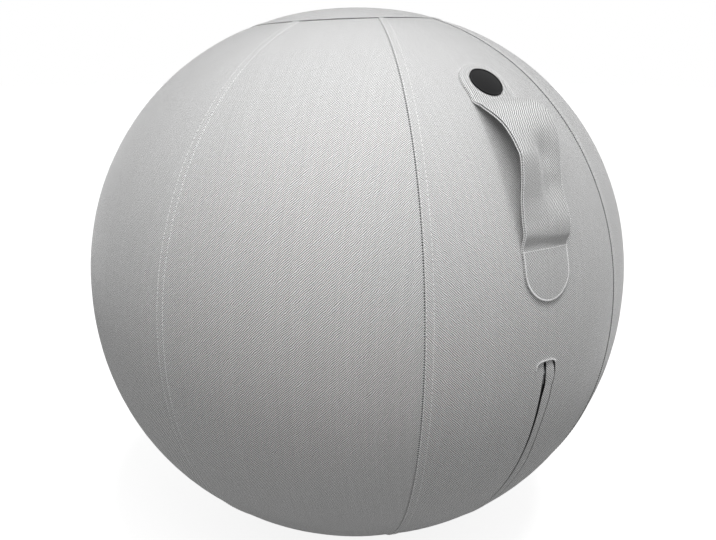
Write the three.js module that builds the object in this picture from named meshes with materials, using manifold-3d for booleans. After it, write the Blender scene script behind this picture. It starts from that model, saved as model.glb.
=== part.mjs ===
// A balance ball chair: an air-filled ball inside a sewn fabric cover of eight gores and two round
// caps, with a carrying handle and a zip on the front gore. Lengths are in millimetres and +Z is up.
// The origin is on the floor under the ball's middle, and the handle and the zip face -Y.
import * as THREE from "three";
import { mergeVertices } from "three/addons/utils/BufferGeometryUtils.js";
import Module from "manifold-3d";

const wasm = await Module();
wasm.setup();

// Ball
const BALL_RADIUS = 325; // at the equator
const POLE_HEIGHT = 320; // from the ball's middle to its top
const PROFILE_POWER = 2.07; // of the profile's curve: 2 is an ellipse, more is squarer
const FOOT_RADIUS = 50; // flat patch that the floor presses
const SEAM_DIP = 0.8; // how far the seams draw the cover in
const SEAM_DIP_POWER = 4; // of the dip's fall from a seam to its gore's middle
const SEAM_GAP = 0.3; // between two panels at their seam

// Cover
const GORES = 8;
const CAP_RADIUS = 112; // from the axis to the seam of the round caps
const CAP_SEAM_SPREAD = 28; // along the cover, how far a cap's seam draws it in
const COVER_THICKNESS = 1.2;
const GORE_ROWS = 16;
const GORE_COLUMNS = 5;
const FRONT_ROWS = 36;
const FRONT_COLUMNS = 9;
const CAP_ROWS = 3;

// Bladder and its valve
const BLADDER_WALL = 1;
const BLADDER_CLEARANCE = 0.7; // inside the cover
const ZIP_HOLLOW_CLEARANCE = 0.8; // between the zip's guard and the bladder pressed in behind it
const ZIP_HOLLOW_SHARE = 2 / 3; // of a face of the bladder, how far past the zip it is pressed in
const VALVE_ROWS_DOWN = 2; // rows of the bladder's faces from the zip's top to the valve
const VALVE_BORE_RADIUS = 4.6;
const VALVE_WALL = 4.4;
const VALVE_LENGTH = 15;
const VALVE_FLANGE_RADIUS = 15;
const VALVE_FLANGE_THICKNESS = 1.6;
const VALVE_COUNTERSINK_RADIUS = 7.4;
const VALVE_COUNTERSINK_DEPTH = 1.6;
const PLUG_HEAD_THICKNESS = 1;
const PLUG_LENGTH = 12;
const PLUG_TAPER = 0.6;

// Handle, on the front gore's middle: angles from the ball's top, in degrees
const HANDLE_TOP_ANGLE = 37.9;
const HANDLE_LIFT_ANGLE = 46;
const HANDLE_LAND_ANGLE = 72.4;
const HANDLE_END_ANGLE = 80.6;
const HANDLE_WIDTH = 56;
const HANDLE_RISE = 22.5; // of the loop's underside above the cover
const HANDLE_CREST_SHARE = 0.4; // where the loop is highest
const HANDLE_PLY = 1.2;
const HANDLE_STEP_ANGLE = 1.1;
const HANDLE_END_SHARES = [0.1, 0.25, 0.5, 0.75]; // of a round end's quarter turn, where it has steps
const BADGE_ANGLE = 42.6;
const BADGE_RADIUS = 17.5;
const BADGE_RIM_HEIGHT = 1.4;
const BADGE_CROWN = 0.8; // how far the middle stands above the rim
const BADGE_SHOULDER_SHARE = 0.7; // of the radius, where the crown's slope eases
const BADGE_SHOULDER_RISE_SHARE = 0.6; // of the crown, reached there

// Zip, on the front gore's middle: angles from the ball's top, in degrees
const ZIP_TOP_ANGLE = 91.5; // where the window's arched top starts
const ZIP_END_ANGLE = 149;
const ZIP_STEPS = 20;
const WINDOW_HALF_WIDTH = 12.5; // of the window in the gore that holds the lips
const WINDOW_ARCH_HEIGHT = 6; // of its arched ends
const WINDOW_ARCH_POWER = 4; // 2 is half an ellipse, more is a flat arch with round corners
const LIP_GAP_WIDE = 3.4; // between the lips at both ends
const LIP_GAP_NARROW = 1.8;
const LIP_GAP_TOP = 1; // at the top of the arch
const LIP_GAPE_LENGTH = 45; // that stays wide at each end
const LIP_GAPE_FADE = 60;
const LIP_THICKNESS = 1.2;
const BAIL_WIDTH = 0.9;
const BAIL_THICKNESS = 0.9;
const BAIL_LENGTH = 5.4;
const BAIL_LEG = 0.9;
const PULLER_WIDTH = 2.7;
const PULLER_LENGTH = 12; // from its pin to its tip
const PULLER_THICKNESS = 0.8;
const PULLER_PIN_RADIUS = 0.45;
const PULLER_PIN_SIDES = 10;
const SLIDER_WIDTH = 9.6;
const SLIDER_LENGTH = 9;
const SLIDER_PLATE = 1;
const SLIDER_FLANGE = 1;
const SLIDER_POST_WIDTH = 0.9;
const SLIDER_POST_LENGTH = 2.6;
const COIL_GAP = 1.5; // between the two coils, for the slider's post
const COIL_WIDTH = 2.6;
const COIL_HEIGHT = 1.8;
const TAPE_THICKNESS = 0.6;
const TAPE_REACH = 17; // from the zip's middle to the tape's sewn edge
const TAPE_SEAM_WIDTH = 5;
const TAPE_SLOPE_WIDTH = 3;
const STOP_LENGTH = 3;
const STOP_HALF_WIDTH = 3.2;
const STOP_CLEARANCE = 1; // between the top stop and the slider, with the zip closed
const GUARD_THICKNESS = 0.6;
const GUARD_HALF_WIDTH = 12;
const GUARD_SEAM_WIDTH = 5;

// Fits
const SOFT_SEAT = 0.3; // between a sewn piece and what it lies on
const RUNNING_GAP = 0.3; // between the slider and what it runs along
const OVERRUN = 5; // of a cut past the face that it goes through

const ROUND_SIDES = 24; // of small round pieces and holes
const DEGREE = Math.PI / 180;

// The cover's shape

// Height of the ball's profile above its middle at a distance from the axis.
function profileHeight(distance) {
  return POLE_HEIGHT * (1 - (distance / BALL_RADIUS) ** PROFILE_POWER) ** (1 / PROFILE_POWER);
}

const FLOOR_DROP = profileHeight(FOOT_RADIUS);
const CAP_ANGLE = Math.atan2(CAP_RADIUS, profileHeight(CAP_RADIUS));
const FOOT_ANGLE = Math.PI - Math.atan2(FOOT_RADIUS, FLOOR_DROP);
const GORE_HALF_ANGLE = Math.PI / GORES;

// Distance from the ball's middle to the smooth cover, at an angle from the top.
function coverRadius(angle) {
  const across = (Math.abs(Math.sin(angle)) / BALL_RADIUS) ** PROFILE_POWER;
  const along = (Math.abs(Math.cos(angle)) / POLE_HEIGHT) ** PROFILE_POWER;
  const round = (across + along) ** (-1 / PROFILE_POWER);
  return angle > FOOT_ANGLE ? -FLOOR_DROP / Math.cos(angle) : round;
}

// How far the seams draw the cover in, at an angle from the top and a share of a gore's half width.
function seamDip(angle, share) {
  const fromPole = Math.min(angle, Math.PI - angle);
  const spread = CAP_SEAM_SPREAD / BALL_RADIUS;
  const capShare = Math.max(0, 1 - Math.abs(fromPole - CAP_ANGLE) / spread);
  const goreShare = fromPole < CAP_ANGLE ? 0 : Math.abs(share) ** SEAM_DIP_POWER;
  return SEAM_DIP * Math.max(capShare, goreShare);
}

// A point at a distance from the ball's middle. The azimuth is 0 at the front and grows to +X.
function polarPoint(radius, angle, azimuth) {
  const across = radius * Math.sin(angle);
  return new THREE.Vector3(
    across * Math.sin(azimuth),
    -across * Math.cos(azimuth),
    radius * Math.cos(angle),
  );
}

// Geometry helpers

// Closed geometry from a list of four-cornered faces, each counter-clockwise from outside.
function geometryOf(quads) {
  const positions = [];
  const add = (a, b, c) => {
    if (a.distanceTo(b) && b.distanceTo(c) && c.distanceTo(a)) {
      positions.push(...a.toArray(), ...b.toArray(), ...c.toArray());
    }
  };
  for (const [a, b, c, d] of quads) {
    add(a, b, c);
    if (d) add(a, c, d);
  }
  const geometry = new THREE.BufferGeometry();
  geometry.setAttribute("position", new THREE.Float32BufferAttribute(positions, 3));
  return geometry;
}

// A solid for joining and cutting, from a closed geometry.
function solidOf(geometry) {
  const bare = geometry.clone();
  bare.deleteAttribute("normal");
  bare.deleteAttribute("uv");
  const merged = mergeVertices(bare);
  return new wasm.Manifold(
    new wasm.Mesh({
      numProp: 3,
      vertProperties: new Float32Array(merged.attributes.position.array),
      triVerts: new Uint32Array(merged.index.array),
    }),
  );
}

// The geometry of a joined or cut solid.
function geometryOfSolid(solid) {
  const mesh = solid.getMesh();
  const geometry = new THREE.BufferGeometry();
  geometry.setAttribute("position", new THREE.BufferAttribute(mesh.vertProperties, 3));
  geometry.setIndex(new THREE.BufferAttribute(mesh.triVerts, 1));
  return geometry.toNonIndexed();
}

// The faces between two rows of points, the first row above the second as seen from outside.
function band(upper, lower) {
  const faces = [];
  for (let j = 0; j + 1 < upper.length; j += 1) {
    faces.push([lower[j], lower[j + 1], upper[j + 1], upper[j]]);
  }
  return faces;
}

// The same faces seen from behind, cut along the same diagonals.
function flipped(faces) {
  return faces.map(([a, b, c, d]) => [a, d, c, b]);
}

// A curved plate: a grid of outer points and the same grid of inner ones. Rows run downwards and
// columns to the right as seen from outside. An open plate has walls at its first and last columns.
function plate(outer, inner, isOpen) {
  const last = outer.length - 1;
  const faces = [];
  for (let i = 0; i < last; i += 1) {
    faces.push(...band(outer[i], outer[i + 1]));
    faces.push(...flipped(band(inner[i], inner[i + 1])));
  }
  faces.push(...band(inner[0], outer[0]));
  faces.push(...band(outer[last], inner[last]));
  if (isOpen) {
    const end = outer[0].length - 1;
    for (let i = 0; i < last; i += 1) {
      faces.push([outer[i + 1][0], outer[i][0], inner[i][0], inner[i + 1][0]]);
      faces.push([outer[i][end], outer[i + 1][end], inner[i + 1][end], inner[i][end]]);
    }
  }
  return geometryOf(faces);
}

// A bar through a row of like sections, each a list of corners that run counter-clockwise as seen
// from the first one's end. The flat end faces follow the outline, which has the same corners.
function bar(sections, outline) {
  const count = outline.length;
  const faces = [];
  for (let i = 0; i + 1 < sections.length; i += 1) {
    for (let j = 0; j < count; j += 1) {
      const next = (j + 1) % count;
      const [near, far] = [sections[i], sections[i + 1]];
      faces.push([far[j], far[next], near[next], near[j]]);
    }
  }
  const [first, last] = [sections[0], sections[sections.length - 1]];
  for (const [a, b, c] of THREE.ShapeUtils.triangulateShape(outline, [])) {
    faces.push([first[a], first[b], first[c]]);
    faces.push([last[c], last[b], last[a]]);
  }
  return geometryOf(faces);
}

function steps(count, from, to) {
  return Array.from({ length: count + 1 }, (_, i) => from + ((to - from) * i) / count);
}

function fabric(color) {
  return new THREE.MeshStandardMaterial({ color, roughness: 0.95, metalness: 0 });
}

function named(name, geometry, material) {
  geometry.computeVertexNormals();
  const mesh = new THREE.Mesh(geometry, material);
  mesh.name = name;
  return mesh;
}

const COVER_COLOR = 0xc4c6c8;
const ball = new THREE.Group();
ball.position.z = FLOOR_DROP;

// Gores

// Grid of points on one gore: half the seam's gap is left free round its edge.
function goreGrid(middle, rows, columns, depth) {
  return steps(rows, CAP_ANGLE, Math.PI - CAP_ANGLE).map((angle, i) => {
    const radius = coverRadius(angle);
    const rowShare = Number(i === 0) - Number(i === rows);
    const edgeAngle = angle + (rowShare * SEAM_GAP) / 2 / radius;
    return steps(columns, -1, 1).map((share) => {
      const edgeShare = Math.abs(share) === 1 ? share : 0;
      const inset = (edgeShare * SEAM_GAP) / 2 / (radius * Math.sin(angle));
      const azimuth = middle + share * GORE_HALF_ANGLE - inset;
      return polarPoint(radius - seamDip(angle, share) - depth, edgeAngle, azimuth);
    });
  });
}

function gore(middle, rows, columns) {
  const outer = goreGrid(middle, rows, columns, 0);
  const inner = goreGrid(middle, rows, columns, COVER_THICKNESS);
  return plate(outer, inner, true);
}

const GORE_NAMES = [
  "gore_front",
  "gore_front_right",
  "gore_right",
  "gore_back_right",
  "gore_back",
  "gore_back_left",
  "gore_left",
  "gore_front_left",
];

function goreName(index) {
  return GORE_NAMES[index] ?? `gore_${index}`;
}

for (let index = 1; index < GORES; index += 1) {
  const geometry = gore(2 * GORE_HALF_ANGLE * index, GORE_ROWS, GORE_COLUMNS);
  ball.add(named(goreName(index), geometry, fabric(COVER_COLOR)));
}

// Caps

const ROUND_AZIMUTHS = Array.from({ length: GORES * GORE_COLUMNS + 1 }, (_, i) => {
  return -GORE_HALF_ANGLE + ((2 * GORE_HALF_ANGLE) / GORE_COLUMNS) * (i % (GORES * GORE_COLUMNS));
});
const TOP_CAP_ANGLES = steps(CAP_ROWS, 0, CAP_ANGLE);
const BOTTOM_CAP_ANGLES = [
  ...steps(CAP_ROWS - 1, Math.PI - CAP_ANGLE, FOOT_ANGLE),
  Math.PI,
];

// Rows of points all round the ball, each angle moved by its share of the seam's half gap.
function roundGrid(angles, depthAt, gapShareAt) {
  return angles.map((angle, i) => {
    const radius = coverRadius(angle);
    const edgeAngle = angle + (gapShareAt(i) * SEAM_GAP) / 2 / radius;
    return ROUND_AZIMUTHS.map((azimuth, j) => {
      const share = (2 * (j % GORE_COLUMNS)) / GORE_COLUMNS - 1;
      return polarPoint(radius - depthAt(angle, azimuth, share), edgeAngle, azimuth);
    });
  });
}

function cap(angles, gapShareAt) {
  const depthAt = (depth) => (angle) => seamDip(angle, 0) + depth;
  const outer = roundGrid(angles, depthAt(0), gapShareAt);
  const inner = roundGrid(angles, depthAt(COVER_THICKNESS), gapShareAt);
  return plate(outer, inner, false);
}

const topCap = cap(TOP_CAP_ANGLES, (i) => (i === CAP_ROWS ? -1 : 0));
const bottomCap = cap(BOTTOM_CAP_ANGLES, (i) => (i === 0 ? 1 : 0));
ball.add(named("top_cap", topCap, fabric(COVER_COLOR)));
ball.add(named("bottom_cap", bottomCap, fabric(COVER_COLOR)));

// Zip: its pieces lie on an arc in the plane x = 0, through three points of the cover

function meridianPoint(angle) {
  return polarPoint(coverRadius(angle), angle, 0);
}

// Centre of the circle through three points of the plane x = 0.
function circleCentre(a, b, c) {
  const [ab, cb] = [a.clone().sub(b), c.clone().sub(b)];
  const cross = 2 * (ab.y * cb.z - ab.z * cb.y);
  const y = (cb.z * ab.lengthSq() - ab.z * cb.lengthSq()) / cross;
  const z = (ab.y * cb.lengthSq() - cb.y * ab.lengthSq()) / cross;
  return b.clone().add(new THREE.Vector3(0, y, z));
}

const ZIP_TOP = ZIP_TOP_ANGLE * DEGREE;
const ZIP_END = ZIP_END_ANGLE * DEGREE;
const zipCentre = circleCentre(
  meridianPoint(ZIP_TOP),
  meridianPoint((ZIP_TOP + ZIP_END) / 2),
  meridianPoint(ZIP_END),
);
const ZIP_RADIUS = meridianPoint(ZIP_TOP).distanceTo(zipCentre);

// Turn about +X, from straight ahead (-Y), of a place on the zip at an angle from the ball's top.
function zipTurn(angle) {
  const offset = meridianPoint(angle).sub(zipCentre);
  return Math.atan2(-offset.z, -offset.y);
}

// A point of the zip: x to the right, depth below the cover's face, turn down the arc.
function zipPoint(x, depth, turn) {
  const radius = ZIP_RADIUS - depth;
  return new THREE.Vector3(x, -radius * Math.cos(turn), -radius * Math.sin(turn)).add(zipCentre);
}

const TOP_TURN = zipTurn(ZIP_TOP);
const END_TURN = zipTurn(ZIP_END);
const REST_TURN = TOP_TURN + (STOP_LENGTH + STOP_CLEARANCE + SLIDER_LENGTH / 2) / ZIP_RADIUS;

// A strip along the zip's arc, whose section at a turn is a list of [x, depth].
function arcStripThrough(turns, sectionAt) {
  const sections = turns.map((turn) => sectionAt(turn).map(([x, depth]) => zipPoint(x, depth, turn)));
  const outline = sectionAt(turns[0]).map(([x, depth]) => new THREE.Vector2(x, depth));
  return bar(sections, outline);
}

function arcStrip(sectionAt, fromTurn, toTurn, count) {
  return arcStripThrough(steps(count, fromTurn, toTurn), sectionAt);
}

// A section that is a rectangle, its corners in the order that faces it outwards.
function rectangle(left, right, top, bottom) {
  return [[left, top], [right, top], [right, bottom], [left, bottom]];
}

// Greatest depth below the zip's arc of the front gore's flats, at the tapes' outer edges.
function flatsDepth() {
  const rows = goreGrid(0, FRONT_ROWS, FRONT_COLUMNS, 0);
  const right = (FRONT_COLUMNS + 1) / 2;
  const depths = rows.slice(1).map((row, i) => {
    const near = row[right].clone().lerp(rows[i][right], 0.5);
    const far = row[right + 1].clone().lerp(rows[i][right + 1], 0.5);
    const edge = near.clone().lerp(far, (TAPE_REACH - near.x) / (far.x - near.x));
    const offset = edge.sub(zipCentre);
    const turn = Math.atan2(-offset.z, -offset.y);
    return turn < TOP_TURN || turn > END_TURN ? 0 : ZIP_RADIUS - Math.hypot(offset.y, offset.z);
  });
  return Math.max(...depths);
}

// Depths of the zip's layers, from the cover's face inwards
const BAIL_TOP = LIP_THICKNESS + RUNNING_GAP;
const PIN_DEPTH = BAIL_TOP + BAIL_THICKNESS + RUNNING_GAP + PULLER_PIN_RADIUS;
const PLATE_TOP = PIN_DEPTH + PULLER_PIN_RADIUS + RUNNING_GAP;
const COIL_TOP = PLATE_TOP + SLIDER_PLATE + RUNNING_GAP;
const COIL_BOTTOM = COIL_TOP + COIL_HEIGHT;
const TAPE_TOP = COIL_BOTTOM + SOFT_SEAT;
const TAPE_BOTTOM = TAPE_TOP + TAPE_THICKNESS;
const LOWER_PLATE_TOP = TAPE_BOTTOM + RUNNING_GAP;
const LOWER_PLATE_BOTTOM = LOWER_PLATE_TOP + SLIDER_PLATE;
const GUARD_TOP = LOWER_PLATE_BOTTOM + RUNNING_GAP;
const GUARD_BOTTOM = GUARD_TOP + GUARD_THICKNESS;
const TAPE_SEAM_DEPTH = flatsDepth() + COVER_THICKNESS + SOFT_SEAT;
const GUARD_SEAM_DEPTH = TAPE_SEAM_DEPTH + TAPE_THICKNESS + SOFT_SEAT;

const LIP_REACH = WINDOW_HALF_WIDTH - SOFT_SEAT;
const LIP_ARCH_HEIGHT = WINDOW_ARCH_HEIGHT - SOFT_SEAT;
const LIP_END_SHARES = [0.98, 0.9, 0.75, 0.45]; // of the arch's height, where an end's steps lie

// Share of the window's half width at a share of an arched end's height, and the other way round.
function archShare(share) {
  return (1 - share ** WINDOW_ARCH_POWER) ** (1 / WINDOW_ARCH_POWER);
}

// A pillar with the outline of an arched end and its mirror image, along local Y.
function archedPillar(height) {
  const quarter = steps(ROUND_SIDES / 4, 0, 1).map((share) => {
    const across = Math.cos((share * Math.PI) / 2) ** (2 / WINDOW_ARCH_POWER);
    return [across * WINDOW_HALF_WIDTH, archShare(across) * WINDOW_ARCH_HEIGHT];
  });
  const half = [...quarter, ...quarter.slice(0, -1).reverse().map(([x, y]) => [-x, y])];
  const outline = [...half, ...half.slice(1, -1).reverse().map(([x, y]) => [x, -y])];
  const shape = new THREE.Shape(outline.map(([x, y]) => new THREE.Vector2(x, y)));
  const pillar = new THREE.ExtrudeGeometry(shape, { depth: height, bevelEnabled: false });
  return pillar.rotateX(Math.PI / 2).translate(0, height / 2, 0);
}

// The window in the front gore that holds the lips: straight sides with arched ends.
function windowSolid() {
  const reach = COVER_THICKNESS + SEAM_DIP + OVERRUN;
  const section = () => rectangle(-WINDOW_HALF_WIDTH, WINDOW_HALF_WIDTH, -OVERRUN, reach);
  let solid = solidOf(arcStrip(section, TOP_TURN, END_TURN, ZIP_STEPS));
  for (const turn of [TOP_TURN, END_TURN]) {
    const end = archedPillar(reach + OVERRUN);
    end.translate(0, (reach - OVERRUN) / 2 - ZIP_RADIUS, 0);
    end.rotateX(turn);
    end.translate(zipCentre.x, zipCentre.y, zipCentre.z);
    solid = solid.add(solidOf(end));
  }
  return solid;
}

const frontGore = solidOf(gore(0, FRONT_ROWS, FRONT_COLUMNS)).subtract(windowSolid());
ball.add(named("gore_front", geometryOfSolid(frontGore), fabric(COVER_COLOR)));

// How far a place lies above the zip's straight part, or below it, along the arc.
function aboveTop(turn) {
  return Math.max(0, TOP_TURN - turn) * ZIP_RADIUS;
}

function belowEnd(turn) {
  return Math.max(0, turn - END_TURN) * ZIP_RADIUS;
}

// Half the gap between the lips: wide near both ends, narrow between them and in the top's arch.
function lipGap(turn) {
  const fromEnd = Math.min(turn - TOP_TURN, END_TURN - turn) * ZIP_RADIUS;
  const fade = THREE.MathUtils.smoothstep(fromEnd, LIP_GAPE_LENGTH, LIP_GAPE_LENGTH + LIP_GAPE_FADE);
  const gap = THREE.MathUtils.lerp(LIP_GAP_WIDE, LIP_GAP_NARROW, fade);
  return THREE.MathUtils.lerp(gap, LIP_GAP_TOP, aboveTop(turn) / LIP_ARCH_HEIGHT) / 2;
}

// One side of the zip: side is 1 on the right and -1 on the left.
function mirrored(section, side) {
  return side === 1 ? section : section.map(([x, depth]) => [-x, depth]).reverse();
}

// A lip fills its side of the window, arched ends included.
function lip(side) {
  const edgeAt = (turn) => {
    return LIP_REACH * archShare((aboveTop(turn) + belowEnd(turn)) / LIP_ARCH_HEIGHT);
  };
  const section = (turn) => mirrored(rectangle(lipGap(turn), edgeAt(turn), 0, LIP_THICKNESS), side);
  const round = LIP_END_SHARES.map((share) => (share * LIP_ARCH_HEIGHT) / ZIP_RADIUS);
  const turns = [
    ...round.map((turn) => TOP_TURN - turn),
    ...steps(ZIP_STEPS, TOP_TURN, END_TURN),
    ...round.toReversed().map((turn) => END_TURN + turn),
  ];
  return arcStripThrough(turns, section);
}

// The zip's ends reach a stop's length past the coils.
const COIL_START_TURN = TOP_TURN + STOP_LENGTH / ZIP_RADIUS;
const COIL_END_TURN = END_TURN - STOP_LENGTH / ZIP_RADIUS;
const COIL_INNER = COIL_GAP / 2;
const COIL_OUTER = COIL_INNER + COIL_WIDTH;
const FLANGE_INNER = COIL_OUTER + RUNNING_GAP;

// A tape lies under its coil, then slopes up beside the slider to its sewn edge under the gore.
function tape(side) {
  const seam = TAPE_REACH - TAPE_SEAM_WIDTH;
  const slope = seam - TAPE_SLOPE_WIDTH;
  const right = [
    [COIL_INNER, TAPE_TOP],
    [slope, TAPE_TOP],
    [seam, TAPE_SEAM_DEPTH],
    [TAPE_REACH, TAPE_SEAM_DEPTH],
    [TAPE_REACH, TAPE_SEAM_DEPTH + TAPE_THICKNESS],
    [seam + TAPE_THICKNESS / 2, TAPE_SEAM_DEPTH + TAPE_THICKNESS],
    [slope + TAPE_THICKNESS / 2, TAPE_BOTTOM],
    [COIL_INNER, TAPE_BOTTOM],
  ];
  return arcStrip(() => mirrored(right, side), TOP_TURN, END_TURN, ZIP_STEPS);
}

function coil(side) {
  const section = () => mirrored(rectangle(COIL_INNER, COIL_OUTER, COIL_TOP, COIL_BOTTOM), side);
  const [start, end] = [COIL_START_TURN, COIL_END_TURN];
  const gap = RUNNING_GAP / ZIP_RADIUS;
  return arcStrip(section, start + gap, end - gap, ZIP_STEPS);
}

function stop(fromTurn, toTurn) {
  const section = () => rectangle(-STOP_HALF_WIDTH, STOP_HALF_WIDTH, COIL_TOP, COIL_BOTTOM);
  return arcStrip(section, fromTurn, toTurn, 1);
}

// The guard lies behind the slider's path and is sewn to the right tape's edge.
function guard() {
  const seam = TAPE_REACH - GUARD_SEAM_WIDTH / 2;
  const outline = [
    [-GUARD_HALF_WIDTH, GUARD_TOP],
    [GUARD_HALF_WIDTH, GUARD_TOP],
    [seam, GUARD_SEAM_DEPTH],
    [seam + GUARD_SEAM_WIDTH, GUARD_SEAM_DEPTH],
    [seam + GUARD_SEAM_WIDTH, GUARD_SEAM_DEPTH + GUARD_THICKNESS],
    [seam + GUARD_THICKNESS / 2, GUARD_SEAM_DEPTH + GUARD_THICKNESS],
    [GUARD_HALF_WIDTH + GUARD_THICKNESS / 2, GUARD_BOTTOM],
    [-GUARD_HALF_WIDTH, GUARD_BOTTOM],
  ];
  return arcStrip(() => outline, TOP_TURN, END_TURN, ZIP_STEPS);
}

const tapeMaterial = fabric(0x55585a);
const coilMaterial = new THREE.MeshStandardMaterial({ color: 0x3c3e40, roughness: 0.5, metalness: 0 });
const sliderMaterial = new THREE.MeshStandardMaterial({ color: 0x8d9092, roughness: 0.4, metalness: 0.9 });
for (const [side, word] of [[-1, "left"], [1, "right"]]) {
  ball.add(named(`zip_lip_${word}`, lip(side), fabric(COVER_COLOR)));
  ball.add(named(`zip_tape_${word}`, tape(side), tapeMaterial));
  ball.add(named(`zip_coil_${word}`, coil(side), coilMaterial));
}
ball.add(named("zip_top_stop", stop(TOP_TURN, COIL_START_TURN), sliderMaterial));
ball.add(named("zip_bottom_stop", stop(COIL_END_TURN, END_TURN), sliderMaterial));
ball.add(named("zip_guard", guard(), fabric(0x9a9c9e)));

// Slider and puller: local -Y points out of the cover and -Z down the zip

// A box between two depths, x to the right and y inwards from the cover's face.
function zipBox(left, right, top, bottom, upper, lower) {
  const box = new THREE.BoxGeometry(right - left, bottom - top, upper - lower);
  return box.translate((left + right) / 2, (top + bottom) / 2, (upper + lower) / 2);
}

function joined(geometries) {
  const solid = geometries.map(solidOf).reduce((sum, next) => sum.add(next));
  return geometryOfSolid(solid);
}

function sliderGeometry() {
  const [halfWidth, halfLength] = [SLIDER_WIDTH / 2, SLIDER_LENGTH / 2];
  const plates = [
    zipBox(-halfWidth, halfWidth, PLATE_TOP, PLATE_TOP + SLIDER_PLATE, halfLength, -halfLength),
    zipBox(-halfWidth, halfWidth, LOWER_PLATE_TOP, LOWER_PLATE_BOTTOM, halfLength, -halfLength),
  ];
  const flangeTop = PLATE_TOP + SLIDER_PLATE / 2;
  const flangeBottom = TAPE_TOP - RUNNING_GAP;
  const flanges = [
    zipBox(FLANGE_INNER, FLANGE_INNER + SLIDER_FLANGE, flangeTop, flangeBottom, halfLength, -halfLength),
    zipBox(-FLANGE_INNER - SLIDER_FLANGE, -FLANGE_INNER, flangeTop, flangeBottom, halfLength, -halfLength),
  ];
  const half = SLIDER_POST_WIDTH / 2;
  const postBottom = LOWER_PLATE_TOP + SLIDER_PLATE / 2;
  const post = zipBox(-half, half, flangeTop, postBottom, halfLength, halfLength - SLIDER_POST_LENGTH);
  const [bailHalf, bailEnd] = [BAIL_WIDTH / 2, BAIL_LENGTH / 2];
  const bail = [
    zipBox(-bailHalf, bailHalf, BAIL_TOP, BAIL_TOP + BAIL_THICKNESS, bailEnd, -bailEnd),
    zipBox(-bailHalf, bailHalf, BAIL_TOP, flangeTop, bailEnd, bailEnd - BAIL_LEG),
    zipBox(-bailHalf, bailHalf, BAIL_TOP, flangeTop, BAIL_LEG - bailEnd, -bailEnd),
  ];
  return joined([...plates, ...flanges, post, ...bail]);
}

// The puller's pin runs through the bail, its arms lie beside the bail, and its tab hangs below.
function pullerGeometry() {
  const half = PULLER_WIDTH / 2;
  const pin = new THREE.CylinderGeometry(
    PULLER_PIN_RADIUS,
    PULLER_PIN_RADIUS,
    PULLER_WIDTH,
    PULLER_PIN_SIDES,
  );
  pin.rotateZ(Math.PI / 2);
  const armStart = BAIL_WIDTH / 2 + RUNNING_GAP;
  const bailCorner = Math.hypot(BAIL_LENGTH / 2, PIN_DEPTH - BAIL_TOP);
  const tabTop = -bailCorner - RUNNING_GAP;
  const [face, back] = [-PULLER_THICKNESS / 2, PULLER_THICKNESS / 2];
  return joined([
    pin,
    zipBox(armStart, half, face, back, 0, tabTop - BAIL_LEG),
    zipBox(-half, -armStart, face, back, 0, tabTop - BAIL_LEG),
    zipBox(-half, half, face, back, tabTop, -PULLER_LENGTH),
  ]);
}

const sliderPlace = new THREE.Group();
sliderPlace.position.copy(zipCentre);
sliderPlace.rotation.x = REST_TURN;
const slider = named("zip_slider", sliderGeometry(), sliderMaterial);
slider.position.y = -ZIP_RADIUS;
const puller = named("zip_puller", pullerGeometry(), sliderMaterial);
puller.position.y = PIN_DEPTH - ZIP_RADIUS;
sliderPlace.add(slider, puller);
ball.add(sliderPlace);

// Bladder and its valve

const HOLLOW_DEPTH = GUARD_BOTTOM + ZIP_HOLLOW_CLEARANCE - COVER_THICKNESS - BLADDER_CLEARANCE;
const GORE_ANGLES = steps(GORE_ROWS, CAP_ANGLE, Math.PI - CAP_ANGLE);
const BALL_ANGLES = [
  ...TOP_CAP_ANGLES.slice(0, -1),
  ...GORE_ANGLES,
  ...BOTTOM_CAP_ANGLES.slice(1),
];
const ROW_ANGLE = GORE_ANGLES[1] - GORE_ANGLES[0];
const COLUMN_ANGLE = (2 * GORE_HALF_ANGLE) / GORE_COLUMNS;

// How far the zip presses the bladder in: the front column of faces, from its top row to its end.
function zipHollow(angle, azimuth) {
  const inColumn = Math.abs(azimuth) < COLUMN_ANGLE * ZIP_HOLLOW_SHARE;
  const past = ROW_ANGLE * ZIP_HOLLOW_SHARE;
  const inRows = angle > ZIP_TOP - past && angle < ZIP_END + past;
  return inColumn && inRows ? HOLLOW_DEPTH : 0;
}

function bladderSkin(depth) {
  const depthAt = (angle, azimuth, share) => {
    return seamDip(angle, share) + zipHollow(angle, azimuth) + depth;
  };
  const rows = roundGrid(BALL_ANGLES, depthAt, () => 0);
  const faces = [];
  for (let i = 0; i + 1 < rows.length; i += 1) {
    faces.push(...band(rows[i], rows[i + 1]));
  }
  return { rows, solid: solidOf(geometryOf(faces)) };
}

const BLADDER_DEPTH = COVER_THICKNESS + BLADDER_CLEARANCE;
const outerSkin = bladderSkin(BLADDER_DEPTH);
const innerSkin = bladderSkin(BLADDER_DEPTH + BLADDER_WALL);

// The valve sits in the middle of one face of the bladder, beside the zip.
const valveRow = BALL_ANGLES.findIndex((angle) => angle > ZIP_TOP + VALVE_ROWS_DOWN * ROW_ANGLE);
const corners = [
  outerSkin.rows[valveRow][GORE_COLUMNS - 1],
  outerSkin.rows[valveRow][GORE_COLUMNS],
  outerSkin.rows[valveRow + 1][GORE_COLUMNS - 1],
  outerSkin.rows[valveRow + 1][GORE_COLUMNS],
];
const valveAt = corners.reduce((sum, point) => sum.add(point), new THREE.Vector3());
valveAt.divideScalar(corners.length);
const valveAxis = corners[1].clone().sub(corners[2]).cross(corners[0].clone().sub(corners[3]));
valveAxis.normalize();
const valvePlace = new THREE.Group();
valvePlace.position.copy(valveAt);
valvePlace.quaternion.setFromUnitVectors(new THREE.Vector3(0, 1, 0), valveAxis);
valvePlace.updateMatrix();

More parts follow.
